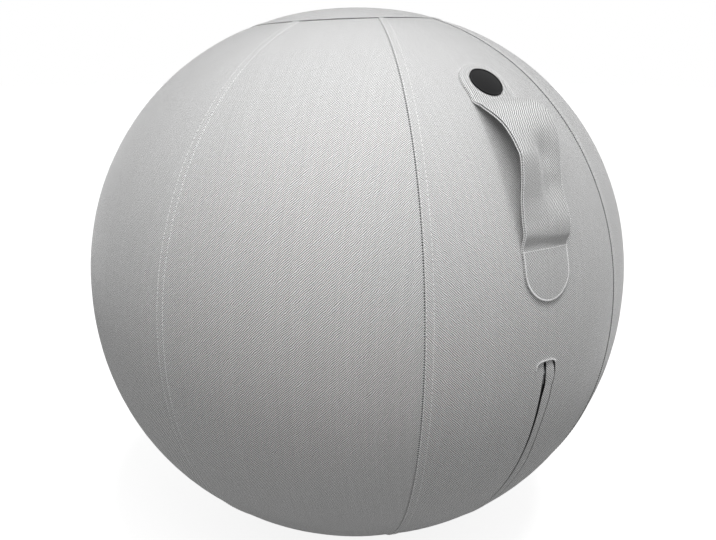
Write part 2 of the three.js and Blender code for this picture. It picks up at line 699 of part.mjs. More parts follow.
// A solid of revolution about local Y, from [radius, height] points.
function turned(points) {
  return new THREE.LatheGeometry(points.map(([x, y]) => new THREE.Vector2(x, y)), ROUND_SIDES);
}

// The seat's neck fills the bladder's hole, and its flange is welded to the inside of the wall.
function valveSeat() {
  const neck = VALVE_BORE_RADIUS + VALVE_WALL;
  const top = -SOFT_SEAT;
  const flange = -BLADDER_WALL - 2 * SOFT_SEAT;
  return turned([
    [VALVE_BORE_RADIUS, -VALVE_LENGTH],
    [neck, -VALVE_LENGTH],
    [neck, flange - VALVE_FLANGE_THICKNESS],
    [VALVE_FLANGE_RADIUS, flange - VALVE_FLANGE_THICKNESS],
    [VALVE_FLANGE_RADIUS, flange],
    [neck, flange],
    [neck, top],
    [VALVE_COUNTERSINK_RADIUS, top],
    [VALVE_COUNTERSINK_RADIUS, top - VALVE_COUNTERSINK_DEPTH],
    [VALVE_BORE_RADIUS, top - VALVE_COUNTERSINK_DEPTH],
    [VALVE_BORE_RADIUS, -VALVE_LENGTH],
  ]);
}

function valvePlug() {
  const head = -VALVE_COUNTERSINK_DEPTH;
  const shaft = VALVE_BORE_RADIUS - SOFT_SEAT;
  return turned([
    [0, head - PLUG_LENGTH],
    [shaft - PLUG_TAPER, head - PLUG_LENGTH],
    [shaft, head],
    [VALVE_COUNTERSINK_RADIUS - SOFT_SEAT, head],
    [VALVE_COUNTERSINK_RADIUS - SOFT_SEAT, head + PLUG_HEAD_THICKNESS],
    [0, head + PLUG_HEAD_THICKNESS],
  ]);
}

function bladder() {
  const radius = VALVE_BORE_RADIUS + VALVE_WALL + SOFT_SEAT;
  const hole = new THREE.CylinderGeometry(radius, radius, VALVE_LENGTH, ROUND_SIDES);
  hole.applyMatrix4(valvePlace.matrix);
  return outerSkin.solid.subtract(innerSkin.solid).subtract(solidOf(hole));
}

const bladderMaterial = new THREE.MeshStandardMaterial({ color: 0x6f7478, roughness: 0.5, metalness: 0 });
const valveMaterial = new THREE.MeshStandardMaterial({ color: 0xe4e4e0, roughness: 0.5, metalness: 0 });
ball.add(named("bladder", geometryOfSolid(bladder()), bladderMaterial));
valvePlace.add(named("valve_seat", valveSeat(), valveMaterial));
valvePlace.add(named("valve_plug", valvePlug(), valveMaterial));
ball.add(valvePlace);

// Handle

// Height of the loop's underside above the cover: a smooth rise and fall, highest at its crest.
function handleRise(angle) {
  const share = (angle / DEGREE - HANDLE_LIFT_ANGLE) / (HANDLE_LAND_ANGLE - HANDLE_LIFT_ANGLE);
  if (share <= 0 || share >= 1) return 0;
  const skew = Math.log(0.5) / Math.log(HANDLE_CREST_SHARE);
  return HANDLE_RISE * Math.sin(Math.PI * share ** skew) ** 2;
}

function handlePoint(angle) {
  return polarPoint(coverRadius(angle) + handleRise(angle), angle, 0);
}

// Unit vector out of the handle's underside at an angle from the ball's top.
function handleNormal(angle) {
  const step = (HANDLE_STEP_ANGLE * DEGREE) / 2;
  const along = handlePoint(angle + step).sub(handlePoint(angle - step)).normalize();
  return new THREE.Vector3(1, 0, 0).cross(along).negate();
}

const HANDLE_TOP = HANDLE_TOP_ANGLE * DEGREE;
const HANDLE_END = HANDLE_END_ANGLE * DEGREE;

// Half the strap's width: the ends are half circles.
function handleHalfWidth(angle) {
  const half = HANDLE_WIDTH / 2;
  const fromEnd = Math.min(angle - HANDLE_TOP, HANDLE_END - angle) * coverRadius(angle);
  if (fromEnd >= half) return half;
  return Math.sqrt(half ** 2 - (half - fromEnd) ** 2);
}

// Angles along the strap: close together on the round ends, even between them.
function handleAngles() {
  const half = HANDLE_WIDTH / 2;
  const corner = HANDLE_END_SHARES.map((share) => 1 - Math.cos((share * Math.PI) / 2));
  const top = corner.map((share) => HANDLE_TOP + (share * half) / coverRadius(HANDLE_TOP));
  const end = corner.map((share) => HANDLE_END - (share * half) / coverRadius(HANDLE_END));
  const from = HANDLE_TOP + half / coverRadius(HANDLE_TOP);
  const to = HANDLE_END - half / coverRadius(HANDLE_END);
  const count = Math.ceil((to - from) / (HANDLE_STEP_ANGLE * DEGREE));
  return [...top, ...steps(count, from, to), ...end.reverse()];
}

// One ply of the strap, its underside a height above the loop's base curve.
function handlePly(height) {
  const sections = handleAngles().map((angle) => {
    const [point, normal, half] = [handlePoint(angle), handleNormal(angle), handleHalfWidth(angle)];
    return rectangle(-half, half, height + HANDLE_PLY, height).map(([x, rise]) => {
      return point.clone().addScaledVector(normal, rise).setX(x);
    });
  });
  const outline = rectangle(-1, 1, 0, 1).map(([x, y]) => new THREE.Vector2(x, y));
  return bar(sections, outline);
}

const LINING_HEIGHT = SOFT_SEAT;
const STRAP_HEIGHT = LINING_HEIGHT + HANDLE_PLY + SOFT_SEAT;
const BADGE_HEIGHT = STRAP_HEIGHT + HANDLE_PLY + SOFT_SEAT;

ball.add(named("handle_lining", handlePly(LINING_HEIGHT), fabric(COVER_COLOR)));
ball.add(named("handle_strap", handlePly(STRAP_HEIGHT), fabric(COVER_COLOR)));

// The badge is a low domed disc on the strap's upper end.
function badge() {
  const shoulder = BADGE_RIM_HEIGHT + BADGE_CROWN * BADGE_SHOULDER_RISE_SHARE;
  return turned([
    [0, 0],
    [BADGE_RADIUS, 0],
    [BADGE_RADIUS, BADGE_RIM_HEIGHT],
    [BADGE_RADIUS * BADGE_SHOULDER_SHARE, shoulder],
    [0, BADGE_RIM_HEIGHT + BADGE_CROWN],
  ]);
}

const badgeMaterial = new THREE.MeshStandardMaterial({ color: 0x1c1c1e, roughness: 0.4, metalness: 0 });
const badgeMesh = named("badge", badge(), badgeMaterial);
const badgeNormal = handleNormal(BADGE_ANGLE * DEGREE);
badgeMesh.position.copy(handlePoint(BADGE_ANGLE * DEGREE)).addScaledVector(badgeNormal, BADGE_HEIGHT);
badgeMesh.quaternion.setFromUnitVectors(new THREE.Vector3(0, 1, 0), badgeNormal);
ball.add(badgeMesh);

const chair = new THREE.Group();
chair.add(ball);

export default chair;
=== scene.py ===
"""Dresses the balance ball chair: its sewn cover, handle, badge and zip, and a plain stage."""

import contextlib
import functools
import math

import bpy
from bpy.props import FloatProperty, FloatVectorProperty, PointerProperty
from mathutils import Matrix, Vector


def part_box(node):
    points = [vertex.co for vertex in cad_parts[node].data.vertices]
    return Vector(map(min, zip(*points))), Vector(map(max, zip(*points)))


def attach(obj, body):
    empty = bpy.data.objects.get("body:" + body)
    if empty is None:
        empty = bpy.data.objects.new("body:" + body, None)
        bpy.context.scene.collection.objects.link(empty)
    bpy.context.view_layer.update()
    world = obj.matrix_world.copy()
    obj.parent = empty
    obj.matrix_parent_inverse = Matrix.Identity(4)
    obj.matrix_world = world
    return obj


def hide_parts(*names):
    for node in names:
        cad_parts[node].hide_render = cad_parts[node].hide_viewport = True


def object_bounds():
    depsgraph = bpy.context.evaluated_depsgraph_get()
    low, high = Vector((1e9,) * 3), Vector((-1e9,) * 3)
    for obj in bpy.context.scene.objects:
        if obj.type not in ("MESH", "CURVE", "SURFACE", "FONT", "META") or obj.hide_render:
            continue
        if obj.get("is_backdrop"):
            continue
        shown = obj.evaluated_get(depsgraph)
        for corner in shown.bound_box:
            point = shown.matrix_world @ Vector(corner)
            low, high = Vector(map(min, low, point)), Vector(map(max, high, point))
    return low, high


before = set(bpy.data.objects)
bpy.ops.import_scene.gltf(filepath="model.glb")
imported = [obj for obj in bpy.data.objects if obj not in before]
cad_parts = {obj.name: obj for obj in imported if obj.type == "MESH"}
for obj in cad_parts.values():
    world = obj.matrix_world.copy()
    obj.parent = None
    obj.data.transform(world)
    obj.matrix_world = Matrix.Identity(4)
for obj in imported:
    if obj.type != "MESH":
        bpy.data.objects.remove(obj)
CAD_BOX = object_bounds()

bl_info = {
    "name": "Balance ball chair",
    "version": (1, 0, 0),
    "blender": (4, 5, 0),
    "location": "3D View > Sidebar > Ball chair",
    "description": "Models the sewn cover, handle, badge and zip of a balance ball chair",
    "category": "Object",
}

MM = 0.001

GORE_NAMES = (
    "gore_front", "gore_front_right", "gore_right", "gore_back_right",
    "gore_back", "gore_back_left", "gore_left", "gore_front_left",
)
GORES = len(GORE_NAMES)
HALF_GORE = math.pi / GORES  # azimuth from a gore's middle to its seam

# Where a panel's rows and columns lie, from its seam inwards: closest where the cloth rolls in
SEAM_STEPS = tuple(step * MM for step in (0.3, 0.42, 0.65, 1, 2, 6, 8, 10.5))
# The same from the edge of the zip's window outwards
FOLD_STEPS = tuple(step * MM for step in (0.2, 0.5, 0.9, 1.5, 2.4, 4, 7))
# The same for a lip, from the zip's slot outwards
LIP_STEPS = tuple(step * MM for step in (0, 0.12, 0.35, 0.7, 1.2, 2))
# From a lip's outer edge back towards the slot
CREASE_STEPS = tuple(step * MM for step in (1.6, 1, 0.6, 0.3, 0))

# Height of the loop's two edges above the cover: share of its length, share of its rise
LEFT_EDGE = (
    (0, 0), (0.098, 0.21), (0.182, 0.5), (0.266, 0.755), (0.355, 0.91), (0.437, 0.985), (0.483, 0.995),
    (0.605, 0.69), (0.703, 0.41), (0.82, 0.23), (0.88, 0.19), (0.93, 0.12), (0.97, 0.05), (1, 0),
)
RIGHT_EDGE = (
    (0, 0), (0.059, 0.25), (0.125, 0.645), (0.209, 0.915), (0.295, 0.98), (0.399, 0.865), (0.517, 0.55),
    (0.627, 0.31), (0.715, 0.26), (0.79, 0.29), (0.84, 0.3), (0.89, 0.24), (0.95, 0.11), (1, 0),
)

# How the right lip's crease wanders: degrees from the ball's top, millimetres to the right
CREASE_PATH = (
    (0, 0), (84, 0), (90, -1.1), (91.1, -1.5), (92.3, 0.4), (94.1, 2), (95.8, 0.4), (98.5, 0.3),
    (101.8, -1.4), (105, -2.2), (110, -1.2), (113, 0.2), (120, 0), (180, 0),
)

VALVE_FACE = 6 * MM  # from the middle of the valve's plug to the face of the ball round it
TINY = 1e-6  # for comparing lengths and angles

# Steps along and across a panel, apart from the close ones at its edges
GORE_ROWS = 56
GORE_COLUMNS = 14
ROWS_ABOVE = 30  # the front gore's, above the zip's window
WINDOW_ROWS = 36
ROWS_BELOW = 5
WINDOW_COLUMNS = 8  # from the zip's middle to the window's side
SIDE_COLUMNS = 5
CAP_RINGS = 12
CAP_CORE = 0.006  # radius of a cap's innermost ring
LIP_ROWS = 72
LIP_COLUMNS = 7
STRAP_ROWS = 96
STRAP_COLUMNS = 18

# The cover's form
CAP_FADE = 0.3  # angle past the top cap's seam over which the cap's shift fades out
SEAM_POWER = 4  # how close to its seams a gore is drawn in

# Widths of the painted shade where the cloth goes in: at a gore's hem, its other side and its ends, at
# a cap's edge, at the window's side and under the arch
HEM_SHADE_WIDTH = 0.32 * MM
PLAIN_SHADE_WIDTH = 0.1 * MM
END_SHADE_WIDTH = 0.45 * MM
CAP_SHADE_WIDTH = 0.5 * MM
WINDOW_SHADE_WIDTH = 0.65 * MM
ARCH_SHADE_WIDTH = 0.7 * MM
# Colour of the painted shade in seams and creases, and how strongly it darkens the cloth
PAINTED_SHADE_COLOR = (0.02, 0.02, 0.02, 1)
PAINTED_SHADE_STRENGTH = 0.9

# The weave, in yarns
TWILL_REPEAT = 4.0  # over two yarns and under two
YARN_CURVE = 3.2  # how much lower a yarn is at its sides
# Painted shade: the yarns are darker in colour where they are lower, between each other
HOLLOW_SHADE = 0.3  # share of the colour that is lost between yarns
YARN_BUMP = 0.5
SLUB = 0.07  # how much slower a yarn's shade changes along it than across the cloth
DRIFT = 3.8  # how far the yarns stray from their straight lines
DRIFT_SCALE = 0.08  # how fast that changes

# The smooth finishes: how much the roughness changes, and the fine bumps
GLOSS_CHANGE = 0.12
SPOT_BUMP = 0.15
SPOT_HEIGHT = 0.2 * MM

# The zip's window
CREASE_WIDTH = 0.9 * MM
CREASE_START = 3 * MM  # from the zip's middle to where the cloth moves with the crease
CREASE_FADE = 15 * MM  # from the crease to where it no longer does
RIDGE_FADE = 14 * MM  # from the arch down to where its ridge ends
ARCH_REACH = 24 * MM  # from the window's end to where the rows are straight
LIP_FADE = 13 * MM  # from the arch down to where the lips lie level with the cover
LIP_FOLD = 0.6 * MM
LIP_FOLD_WIDTH = 1.5 * MM
LIP_CROWN = 0.5 * MM
LIP_CLEAR = 0.05 * MM  # between the left lip and the cover
LIP_FULL = 5 * MM  # the width from which its close rows of corners are at their full steps
LIP_ARCH = (0.985, 0.95, 0.88, 0.75, 0.55, 0.3)  # its rows in the arch, as shares of its height
LIP_LEVEL = 0.75  # share of the left lip's width at which it starts to rise to the cover
BULGE = 1.6 * MM  # of the right lip's edge beside the slider
BULGE_PLACE = 95.4  # degrees from the ball's top
BULGE_LENGTH = 1.7  # degrees

# Pitch of a row of stitches, and the length and width of each
EDGE_ROW = (1.5 * MM, 1.7 * MM, 0.75 * MM)
WOUND_ROW = (2.1 * MM, 3.8 * MM, 0.7 * MM)
LOWER_EDGE = (1.2 * MM, 2 * MM, 0.95 * MM)
CROSS_ROW = (2.4 * MM, 2.2 * MM, 0.75 * MM)
BADGE_ROW = (2 * MM, 1.4 * MM, 0.55 * MM)
ARCH_TACK = (0.95 * MM, 1.5 * MM, 0.7 * MM)
# Distance of each row from the strap's upper edge, its pitch and the width of its stitches
UPPER_ROWS = ((0.9 * MM, 1.6 * MM, 0.8 * MM), (3.2 * MM, 2.6 * MM, 0.6 * MM))
UPPER_FILL = 0.85  # share of the pitch that a stitch takes
BADGE_CLEAR = 2.4 * MM  # from the badge to the row round it
STRAP_INSET = 1 * MM  # of the lower end's stitches from the strap's edge
WOUND_TILT = 0.35
LOWER_TILT = 0.5
TACK_TILT = 0.3
# Height of the threads on the loop's edges, in plies
LINING_LEVEL = 0.85
STRAP_LEVEL = 1.85
WOUND_LEVEL = 1.4
# The stitched arch: how far outside the window it runs, its right end, and the way down on
# its left, which goes out a little
TACK_SIDE = 0.3 * MM
TACK_RIGHT = 11.3 * MM
TACK_DOWN = 2.8 * MM
TACK_OUT = 0.7 * MM
TACK_HEIGHT = 0.05 * MM  # above the ridge

# Stitches along the seams and threads across them
SEAM_CLEAR = 0.006  # angle from a cap's seam to the ends of a gore's rows
ROW_HEIGHT = 0.1 * MM  # of the rows above the hem
DITCH_LENGTH = 2.2 * MM
DITCH_WIDTH = 0.95 * MM
DITCH_SIDE = 0.9 * MM  # beside the seam, where the height of the cover is taken
DITCH_DEPTH = 0.75 * MM
CAP_THREAD_WIDTH = 0.6 * MM
CAP_THREAD_DEPTH = 0.8 * MM

# Dents of the handle's loop: height in millimetres, place and reach in degrees from the ball's
# top, place and reach across in half widths
LOOP_DENTS = (
    (-7.5, 57.9, 2.6, 0.3, 0.4),  # a hollow below the crest
    (-3.5, 62.6, 2.6, 0.32, 0.36),  # its tail
    (1.1, 61, 3.2, -0.12, 0.11),  # a slight ridge to their left
)
LOOP_LEAVES = 4 * MM  # height at which the loop has left the cover's shape
STRAP_EDGE = tuple(step * MM for step in (0, 0.3, 0.8, 1.6, 3))  # its columns nearest its edge
STRAP_HALF = 28 * MM  # the half width that they are meant for
STRAP_CORNER = 0.35  # rounding of a ply's edge as a share of its thickness
STRAP_END = 0.04  # angle round the strap's end to its first row
STRAP_END_ROWS = 12
LOOP_STEP = 0.01  # angle over which the loop's direction is measured

# The badge's rim from its edge inwards: width of each step and how far it goes up
BADGE_STEPS = ((1.1 * MM, 0.0), (0.25 * MM, -0.35 * MM), (0.5 * MM, 0.0))
BADGE_RINGS = (0.85, 0.8, 0.75, 0.6, 0.4)  # each as a share of the one round it
BADGE_ROUNDING = 0.3 * MM
BADGE_LIFT = 0.05 * MM  # above the strap

# Sections of the right tape and of the guard: x and depth in millimetres
TAPE_SECTION = ((0.75, 7.3), (9, 7.3), (12, 2.7), (17, 2.7))
GUARD_SECTION = ((-12, 9.5), (12, 9.5), (14.5, 3.6), (19.5, 3.6))
TAPE_THICKNESS = 0.6 * MM

# The zip's coils
COIL_WIDTH = 2.55 * MM
COIL_HEIGHT = 1.75 * MM
COIL_STRETCH = 1.9 * MM  # along the zip, of a ring that is twice its wire's radius thick
WIRE_RADIUS = 0.19  # of a ring whose wire's middle is 1 across
COIL_PITCH = 1.4 * MM
COIL_X = 2.05 * MM
COIL_DEPTH = 6.1 * MM
COIL_CLEAR = 4.2 * MM  # from the window's ends
COIL_LEAN = 0.16  # angle between a loop and the line across the zip

# The slider's and the puller's blocks in millimetres, -Y out of the cover and -Z down: two
# corners and the rounding
SLIDER_BLOCKS = (
    ("upper", (-4.8, 3.9, -4.5), (4.8, 4.9, 4.5), 0.4),
    ("lower", (-4.8, 8.2, -4.5), (4.8, 9.2, 4.5), 0.4),
    ("flange", (3.65, 4.4, -4.3), (4.65, 7.0, 4.3), 0.3),
    ("flange", (-4.65, 4.4, -4.3), (-3.65, 7.0, 4.3), 0.3),
    ("post", (-0.45, 4.4, 1.9), (0.45, 8.7, 4.5), 0.2),
    ("bail", (-0.45, 1.5, -2.7), (0.45, 2.4, 2.7), 0.3),
    ("leg", (-0.45, 1.6, 1.8), (0.45, 4.4, 2.7), 0.25),
    ("leg", (-0.45, 1.6, -2.7), (0.45, 4.4, -1.8), 0.25),
    ("bridge", (-1.5, 1.2, -0.55), (1.5, 2.2, 0.65), 0.4),
)
PULLER_ARMS = (
    ("arm", (-1.35, -1.65, -3.9), (-0.75, 0.35, 0.4), 0.2),
    ("arm", (0.75, -1.65, -3.9), (1.35, 0.35, 0.4), 0.2),
)
PULLER_TAB = ("tab", (-1.35, -1.65, -12), (1.35, -0.85, -3.4))
PULLER_DEPTH = 3.15 * MM
PIN_RADIUS = 0.45 * MM
PIN_LENGTH = 2.7 * MM
TAB_RIM = 0.55 * MM
TAB_HOLLOW = 0.25 * MM
TAB_ROUNDING = 0.18 * MM
SLIDER_START = 8.5 * MM  # from the window's top to the slider

# The air-filled ball: how far it lies inside the cover, at its seams and behind the zip as well
BALL_GAP = 1.9 * MM
SEAM_GAP = 2.4 * MM
ZIP_GAP = 9.6 * MM
ZIP_BESIDE = (20 * MM, 22 * MM)  # half width of that hollow, and of its slope
ZIP_BEYOND = (8 * MM, 24 * MM)  # the same past the zip's ends
BALL_WALL = 1 * MM
BALL_POLE = 1e-5  # the closest that a corner comes to the ball's axis, as an angle
VALVE_NEAR = 80 * MM  # the part of the ball that is flattened round the valve
VALVE_SEAT = (12 * MM, 20 * MM)  # radius of the flat place round the valve, and of its slope
VALVE_HOLE = 9.3 * MM

# The stage, in metres
FLOOR_SIZE = 40
KEY_DISTANCE = 2.5
FLOOR_GLOW = 0.86  # strength of the white that the camera sees


# Settings


def number(name, description, default, **limits):
    return FloatProperty(name=name, description=description, default=default, **limits)


def length(name, description, default):
    """A length in metres, from a default in millimetres."""
    return number(name, description, default * MM, min=0, unit="LENGTH", precision=5)


def angle(name, description, default):
    """An angle in radians, from a default in degrees."""
    return number(name, description, math.radians(default), subtype="ANGLE")


def share(name, description, default):
    return number(name, description, default, subtype="FACTOR")


def color(name, description, *default):
    return FloatVectorProperty(
        name=name, description=description, default=default, size=3, min=0, max=1, subtype="COLOR"
    )


class CoverSettings(bpy.types.PropertyGroup):
    ball_radius: length("Ball radius", "At the equator", 325)
    pole_height: length("Pole height", "From the ball's middle to its top", 320)
    profile_power: number("Profile power", "2 is an ellipse, more is squarer", 2.07, min=1)
    foot_radius: length("Foot radius", "Of the flat patch that the floor presses", 50)
    cap_radius: length("Cap radius", "From the axis to the seam of the round caps", 112)
    seam_dip: length("Seam dip", "How far the seams draw the panels in", 0.8)
    cap_seam_spread: length("Cap seam spread", "How far a cap's seam draws the cover in", 28)
    roll_depth: length("Roll depth", "How far a panel's edge rolls in at its seam", 0.7)
    roll_width: length("Roll width", "Of the edge that rolls in", 1)
    hem_rise: length("Hem rise", "How much the folded hem under a gore's left edge lifts it", 0.8)
    hem_width: length("Hem width", "Of that folded hem", 9)
    cap_shift: angle("Cap shift", "How far the top cap sits off the ball's axis", 2.8)
    cap_shift_side: angle("Cap shift side", "Azimuth that the top cap is shifted towards", -124.7)
    cloth: length("Cloth thickness", "Of the woven cover", 1.2)
    yarn: length("Yarn pitch", "From one yarn of the weave to the next", 0.54)
    light_yarn: color("Light yarn", "Colour of the warp", 0.95, 0.95, 0.95)
    dark_yarn: color("Dark yarn", "Colour of the weft", 0.25, 0.25, 0.25)
    thread: color("Thread", "Colour of the sewing thread", 0.85, 0.85, 0.85)
    near_row: length("Near stitches", "From a seam to its first row of stitches", 1.4)
    far_row: length("Far stitches", "From a seam to its second row of stitches", 8.3)
    stitch_pitch: length("Stitch pitch", "From one stitch to the next", 4.2)
    stitch_length: length("Stitch length", "Of the thread that shows", 2.9)
    thread_width: length("Thread width", "Of the sewing thread", 0.62)
    ditch_pitch: length("Ditch pitch", "From one thread across a seam to the next", 2.5)


class HandleSettings(bpy.types.PropertyGroup):
    top: angle("Top end", "Of the strap, from the ball's top", 37.9)
    lift: angle("Lift", "Where the loop leaves the cover", 46)
    land: angle("Land", "Where the loop comes back to the cover", 72.3)
    end: angle("Lower end", "Of the strap, from the ball's top", 80.6)
    width: length("Width", "Of the strap", 56)
    rise: length("Rise", "Of the loop's underside above the cover", 22.5)
    ply: length("Ply", "Thickness of the strap and of its lining", 1)
    sewn_ply: length("Sewn ply", "Height that each ply adds where it is sewn down", 1.05)
    loose_ply: length("Loose ply", "Height that each ply adds in the loop", 1.9)
    lining_edge: length("Lining edge", "How far the lining shows round the strap", 0.7)
    cloth_shade: share("Cloth shade", "Of the strap's cloth against the cover's", 0.93)
    badge_place: angle("Badge place", "Of the badge, from the ball's top", 42.6)
    badge_radius: length("Badge radius", "Of the round badge", 17.5)
    badge_rim: length("Badge rim", "Height of the badge's rim", 1.5)
    badge_crown: length("Badge crown", "How far its middle stands above the rim", 0.6)
    badge_color: color("Badge colour", "Of its satin face", 0.006, 0.006, 0.0065)


class ZipSettings(bpy.types.PropertyGroup):
    top: angle("Top", "Where the window's arch starts, from the ball's top", 91.5)
    end: angle("End", "Where the window's lower arch starts", 149)
    half_width: length("Half width", "Of the window that holds the lips", 12.5)
    arch: length("Arch", "Height of the window's arched ends", 4.9)
    arch_power: number("Arch power", "2 is half an ellipse, more is flatter", 2.6, min=1)
    ridge: length("Ridge", "How far the stitched arch stands up", 0.8)
    ridge_width: length("Ridge width", "Of the stitched arch", 1.2)
    lip_drop: length("Lip drop", "How much lower the lips lie under the arch", 1.6)
    arch_gap: length("Arch gap", "Between the lips and the arch", 0.5)
    crease_gap: length("Crease gap", "Between the right lip and the cover", 0.6)
    crease: length("Crease", "Depth of the crease at the right lip", 0.9)
    gap_wide: length("Wide gap", "Between the lips near both ends", 3.4)
    gap_narrow: length("Narrow gap", "Between the lips along the middle", 1.8)
    gap_top: length("Top gap", "Between the lips at the top of the arch", 1)
    gape: length("Gape", "Length of the wide gap at each end", 45)
    gape_fade: length("Gape fade", "Length over which it narrows", 60)
    tape_color: color("Tape colour", "Of the woven tapes and the guard", 0.09, 0.09, 0.095)
    coil_color: color("Coil colour", "Of the zip's coils", 0.04, 0.04, 0.043)
    metal_color: color("Slider colour", "Of the slider and the stops", 0.7, 0.7, 0.71)
    tab_color: color("Tab colour", "Of the puller's dark tab", 0.05, 0.05, 0.053)


class StageSettings(bpy.types.PropertyGroup):
    azimuth: angle("Azimuth", "Of the view: 0 looks along +Y", -32.7)
    elevation: angle("Elevation", "Of the view above the horizon", 16.8)
    distance: length("Distance", "From the camera to the ball's middle", 880.75)
    roll: angle("Roll", "Of the camera about its own axis", 0.4)
    lens: number("Lens", "Focal length", 33.75, unit="CAMERA")
    shift_x: number("Shift across", "Of the camera's view", 0.001, precision=4)
    shift_y: number("Shift up", "Of the camera's view", -0.0008, precision=4)
    floor: share("Floor grey", "Of the floor as the ball sees it", 0.35)
    ambient: share("Ambient", "Brightness of the light from all round", 0.39)
    key_strength: number("Key light", "Strength of the light overhead", 1.42, min=0)
    key_angle: angle("Key angle", "How broad the light overhead is", 13)
    key_azimuth: angle("Key azimuth", "Where the light overhead is", 12)
    key_elevation: angle("Key elevation", "Of the light overhead", 77)
    lamp_power: number("Lamp power", "Of the round lamp in front", 2.5, min=0, unit="POWER")
    lamp_size: length("Lamp size", "Of the round lamp in front", 500)
    lamp_distance: length("Lamp distance", "From the round lamp to the ball's middle", 900)
    lamp_azimuth: angle("Lamp azimuth", "Where the round lamp is", -33)
    lamp_elevation: angle("Lamp elevation", "Of the round lamp", 50)


# The cover's shape: angles from the ball's top, azimuths from the front, growing to +X


def cover():
    return bpy.context.scene.ball_cover


def handle():
    return bpy.context.scene.ball_handle


def zipper():
    return bpy.context.scene.ball_zip


def profile_height(distance):
    """Height of the ball's profile above its middle, at a distance from the axis."""
    size = cover()
    power = size.profile_power
    return size.pole_height * (1 - (distance / size.ball_radius) ** power) ** (1 / power)


def settled(polar, azimuth):
    """The angle of a place round the top cap, which sits a little off the ball's axis."""
    size = cover()
    edge = cap_angle()
    if polar >= edge + CAP_FADE:
        return polar
    fade = polar / edge if polar < edge else 1 - smooth((polar - edge) / CAP_FADE)
    return polar + size.cap_shift * math.cos(azimuth - size.cap_shift_side) * fade


def floor_drop():
    return profile_height(cover().foot_radius)


def cap_angle():
    radius = cover().cap_radius
    return math.atan2(radius, profile_height(radius))


def cover_radius(polar):
    """Distance from the ball's middle to the smooth cover."""
    size = cover()
    power = size.profile_power
    across = abs(math.sin(polar) / size.ball_radius) ** power
    along = abs(math.cos(polar) / size.pole_height) ** power
    drop = floor_drop()
    if polar > math.pi - math.atan2(size.foot_radius, drop):
        return -drop / math.cos(polar)
    return (across + along) ** (-1 / power)


def bent_in(depth, distance, width):
    """Depth at a distance from an edge that bends in over a width."""
    return depth * max(0, 1 - distance / width) ** 2


def hem(distance):
    """How far the folded hem lifts the cloth at a distance from its seam."""
    size = cover()
    return size.hem_rise * (1 - smooth(distance / size.hem_width * 3 - 2))


def cap_share(polar):
    """1 at a cap's seam, falling to 0 where the seam no longer draws the cover in."""
    size = cover()
    distance = abs(min(polar, math.pi - polar) - cap_angle()) * size.ball_radius
    return max(0, 1 - distance / size.cap_seam_spread)


def seam_depth(polar, x):
    """How far the seams draw a gore in, at x along the latitude from its middle."""
    size = cover()
    from_pole = min(polar, math.pi - polar)
    cap_distance = abs(from_pole - cap_angle()) * size.ball_radius
    if from_pole < cap_angle():
        roll = bent_in(size.roll_depth, cap_distance, size.roll_width)
        return size.seam_dip * cap_share(polar) + roll - hem(cap_distance)
    half = half_width(polar)
    gore_share = abs(x / half) ** SEAM_POWER
    roll = bent_in(size.roll_depth, min(half - abs(x), cap_distance), size.roll_width)
    return size.seam_dip * max(cap_share(polar), gore_share) + roll - hem(half + x)


def half_width(polar):
    """Half a gore's width along the latitude."""
    return HALF_GORE * cover_radius(polar) * math.sin(polar)


def polar_point(radius, polar, azimuth):
    across = radius * math.sin(polar)
    return Vector(
        (across * math.sin(azimuth), -across * math.cos(azimuth), radius * math.cos(polar) + floor_drop())
    )


def on_gore(polar, x, height=0, middle=0):
    """A place on a gore: x to the right along the latitude, height above the cover."""
    azimuth = middle + x / (cover_radius(polar) * math.sin(polar))
    place = settled(polar, azimuth)
    return polar_point(cover_radius(place) - seam_depth(polar, x) + height, place, azimuth)


def point_and_normal(place, u, v, step=0.0005):
    """A surface's point and its outward normal, at two coordinates."""
    across = place(u, v + step) - place(u, v - step)
    down = place(u + step, v) - place(u - step, v)
    return place(u, v), down.cross(across).normalized()


def spread(low, high, count):
    """Places from low to high with that many steps, both ends included."""
    return [low + (high - low) * i / count for i in range(count + 1)]


def seam_spaced(low, high, count):
    """Places between two seams, close together by both."""
    first = [low + step for step in SEAM_STEPS]
    last = [high - step for step in reversed(SEAM_STEPS)]
    return first[:-1] + spread(first[-1], last[0], count) + last[1:]


def smooth(value):
    """A smooth step from 0 to 1."""
    value = min(max(value, 0), 1)
    return value * value * (3 - 2 * value)


# Modelling helpers


def deselect_all():
    if bpy.context.mode != "OBJECT":
        bpy.ops.object.mode_set(mode="OBJECT")
    bpy.ops.object.select_all(action="DESELECT")


def added(name):
    """The primitive that was just added, under its piece's name."""
    piece = bpy.context.active_object
    piece.name = name
    piece.data.name = name
    return piece


def only(piece):
    """Selects one piece and makes it the active one."""
    deselect_all()
    bpy.context.view_layer.objects.active = piece
    piece.select_set(True)


def modified(piece, kind, **settings):
    """Adds a modifier with these settings and applies it."""
    only(piece)
    modifier = piece.modifiers.new(kind.title(), kind)
    for key, value in settings.items():
        setattr(modifier, key, value)
    bpy.ops.object.modifier_apply(modifier=modifier.name)


def smoothed(piece, limit):
    only(piece)
    bpy.ops.object.shade_smooth_by_angle(angle=math.radians(limit))
    return piece


@contextlib.contextmanager
def editing(piece, chosen=None):
    """Edits a piece with all its faces selected, or those that pass the test."""
    only(piece)
    bpy.ops.object.mode_set(mode="EDIT")
    bpy.ops.mesh.select_mode(type="FACE")
    bpy.ops.mesh.select_all(action="DESELECT" if chosen else "SELECT")
    if chosen:
        bpy.ops.object.mode_set(mode="OBJECT")
        for face in piece.data.polygons:
            face.select = chosen(face)
        bpy.ops.object.mode_set(mode="EDIT")
    yield
    bpy.ops.object.mode_set(mode="OBJECT")


def painted_shade_at(distance, width=END_SHADE_WIDTH):
    """Painted shade at a distance from the edge that goes into a seam or crease: 1 at the edge."""
    return 1 - smooth(distance / width)


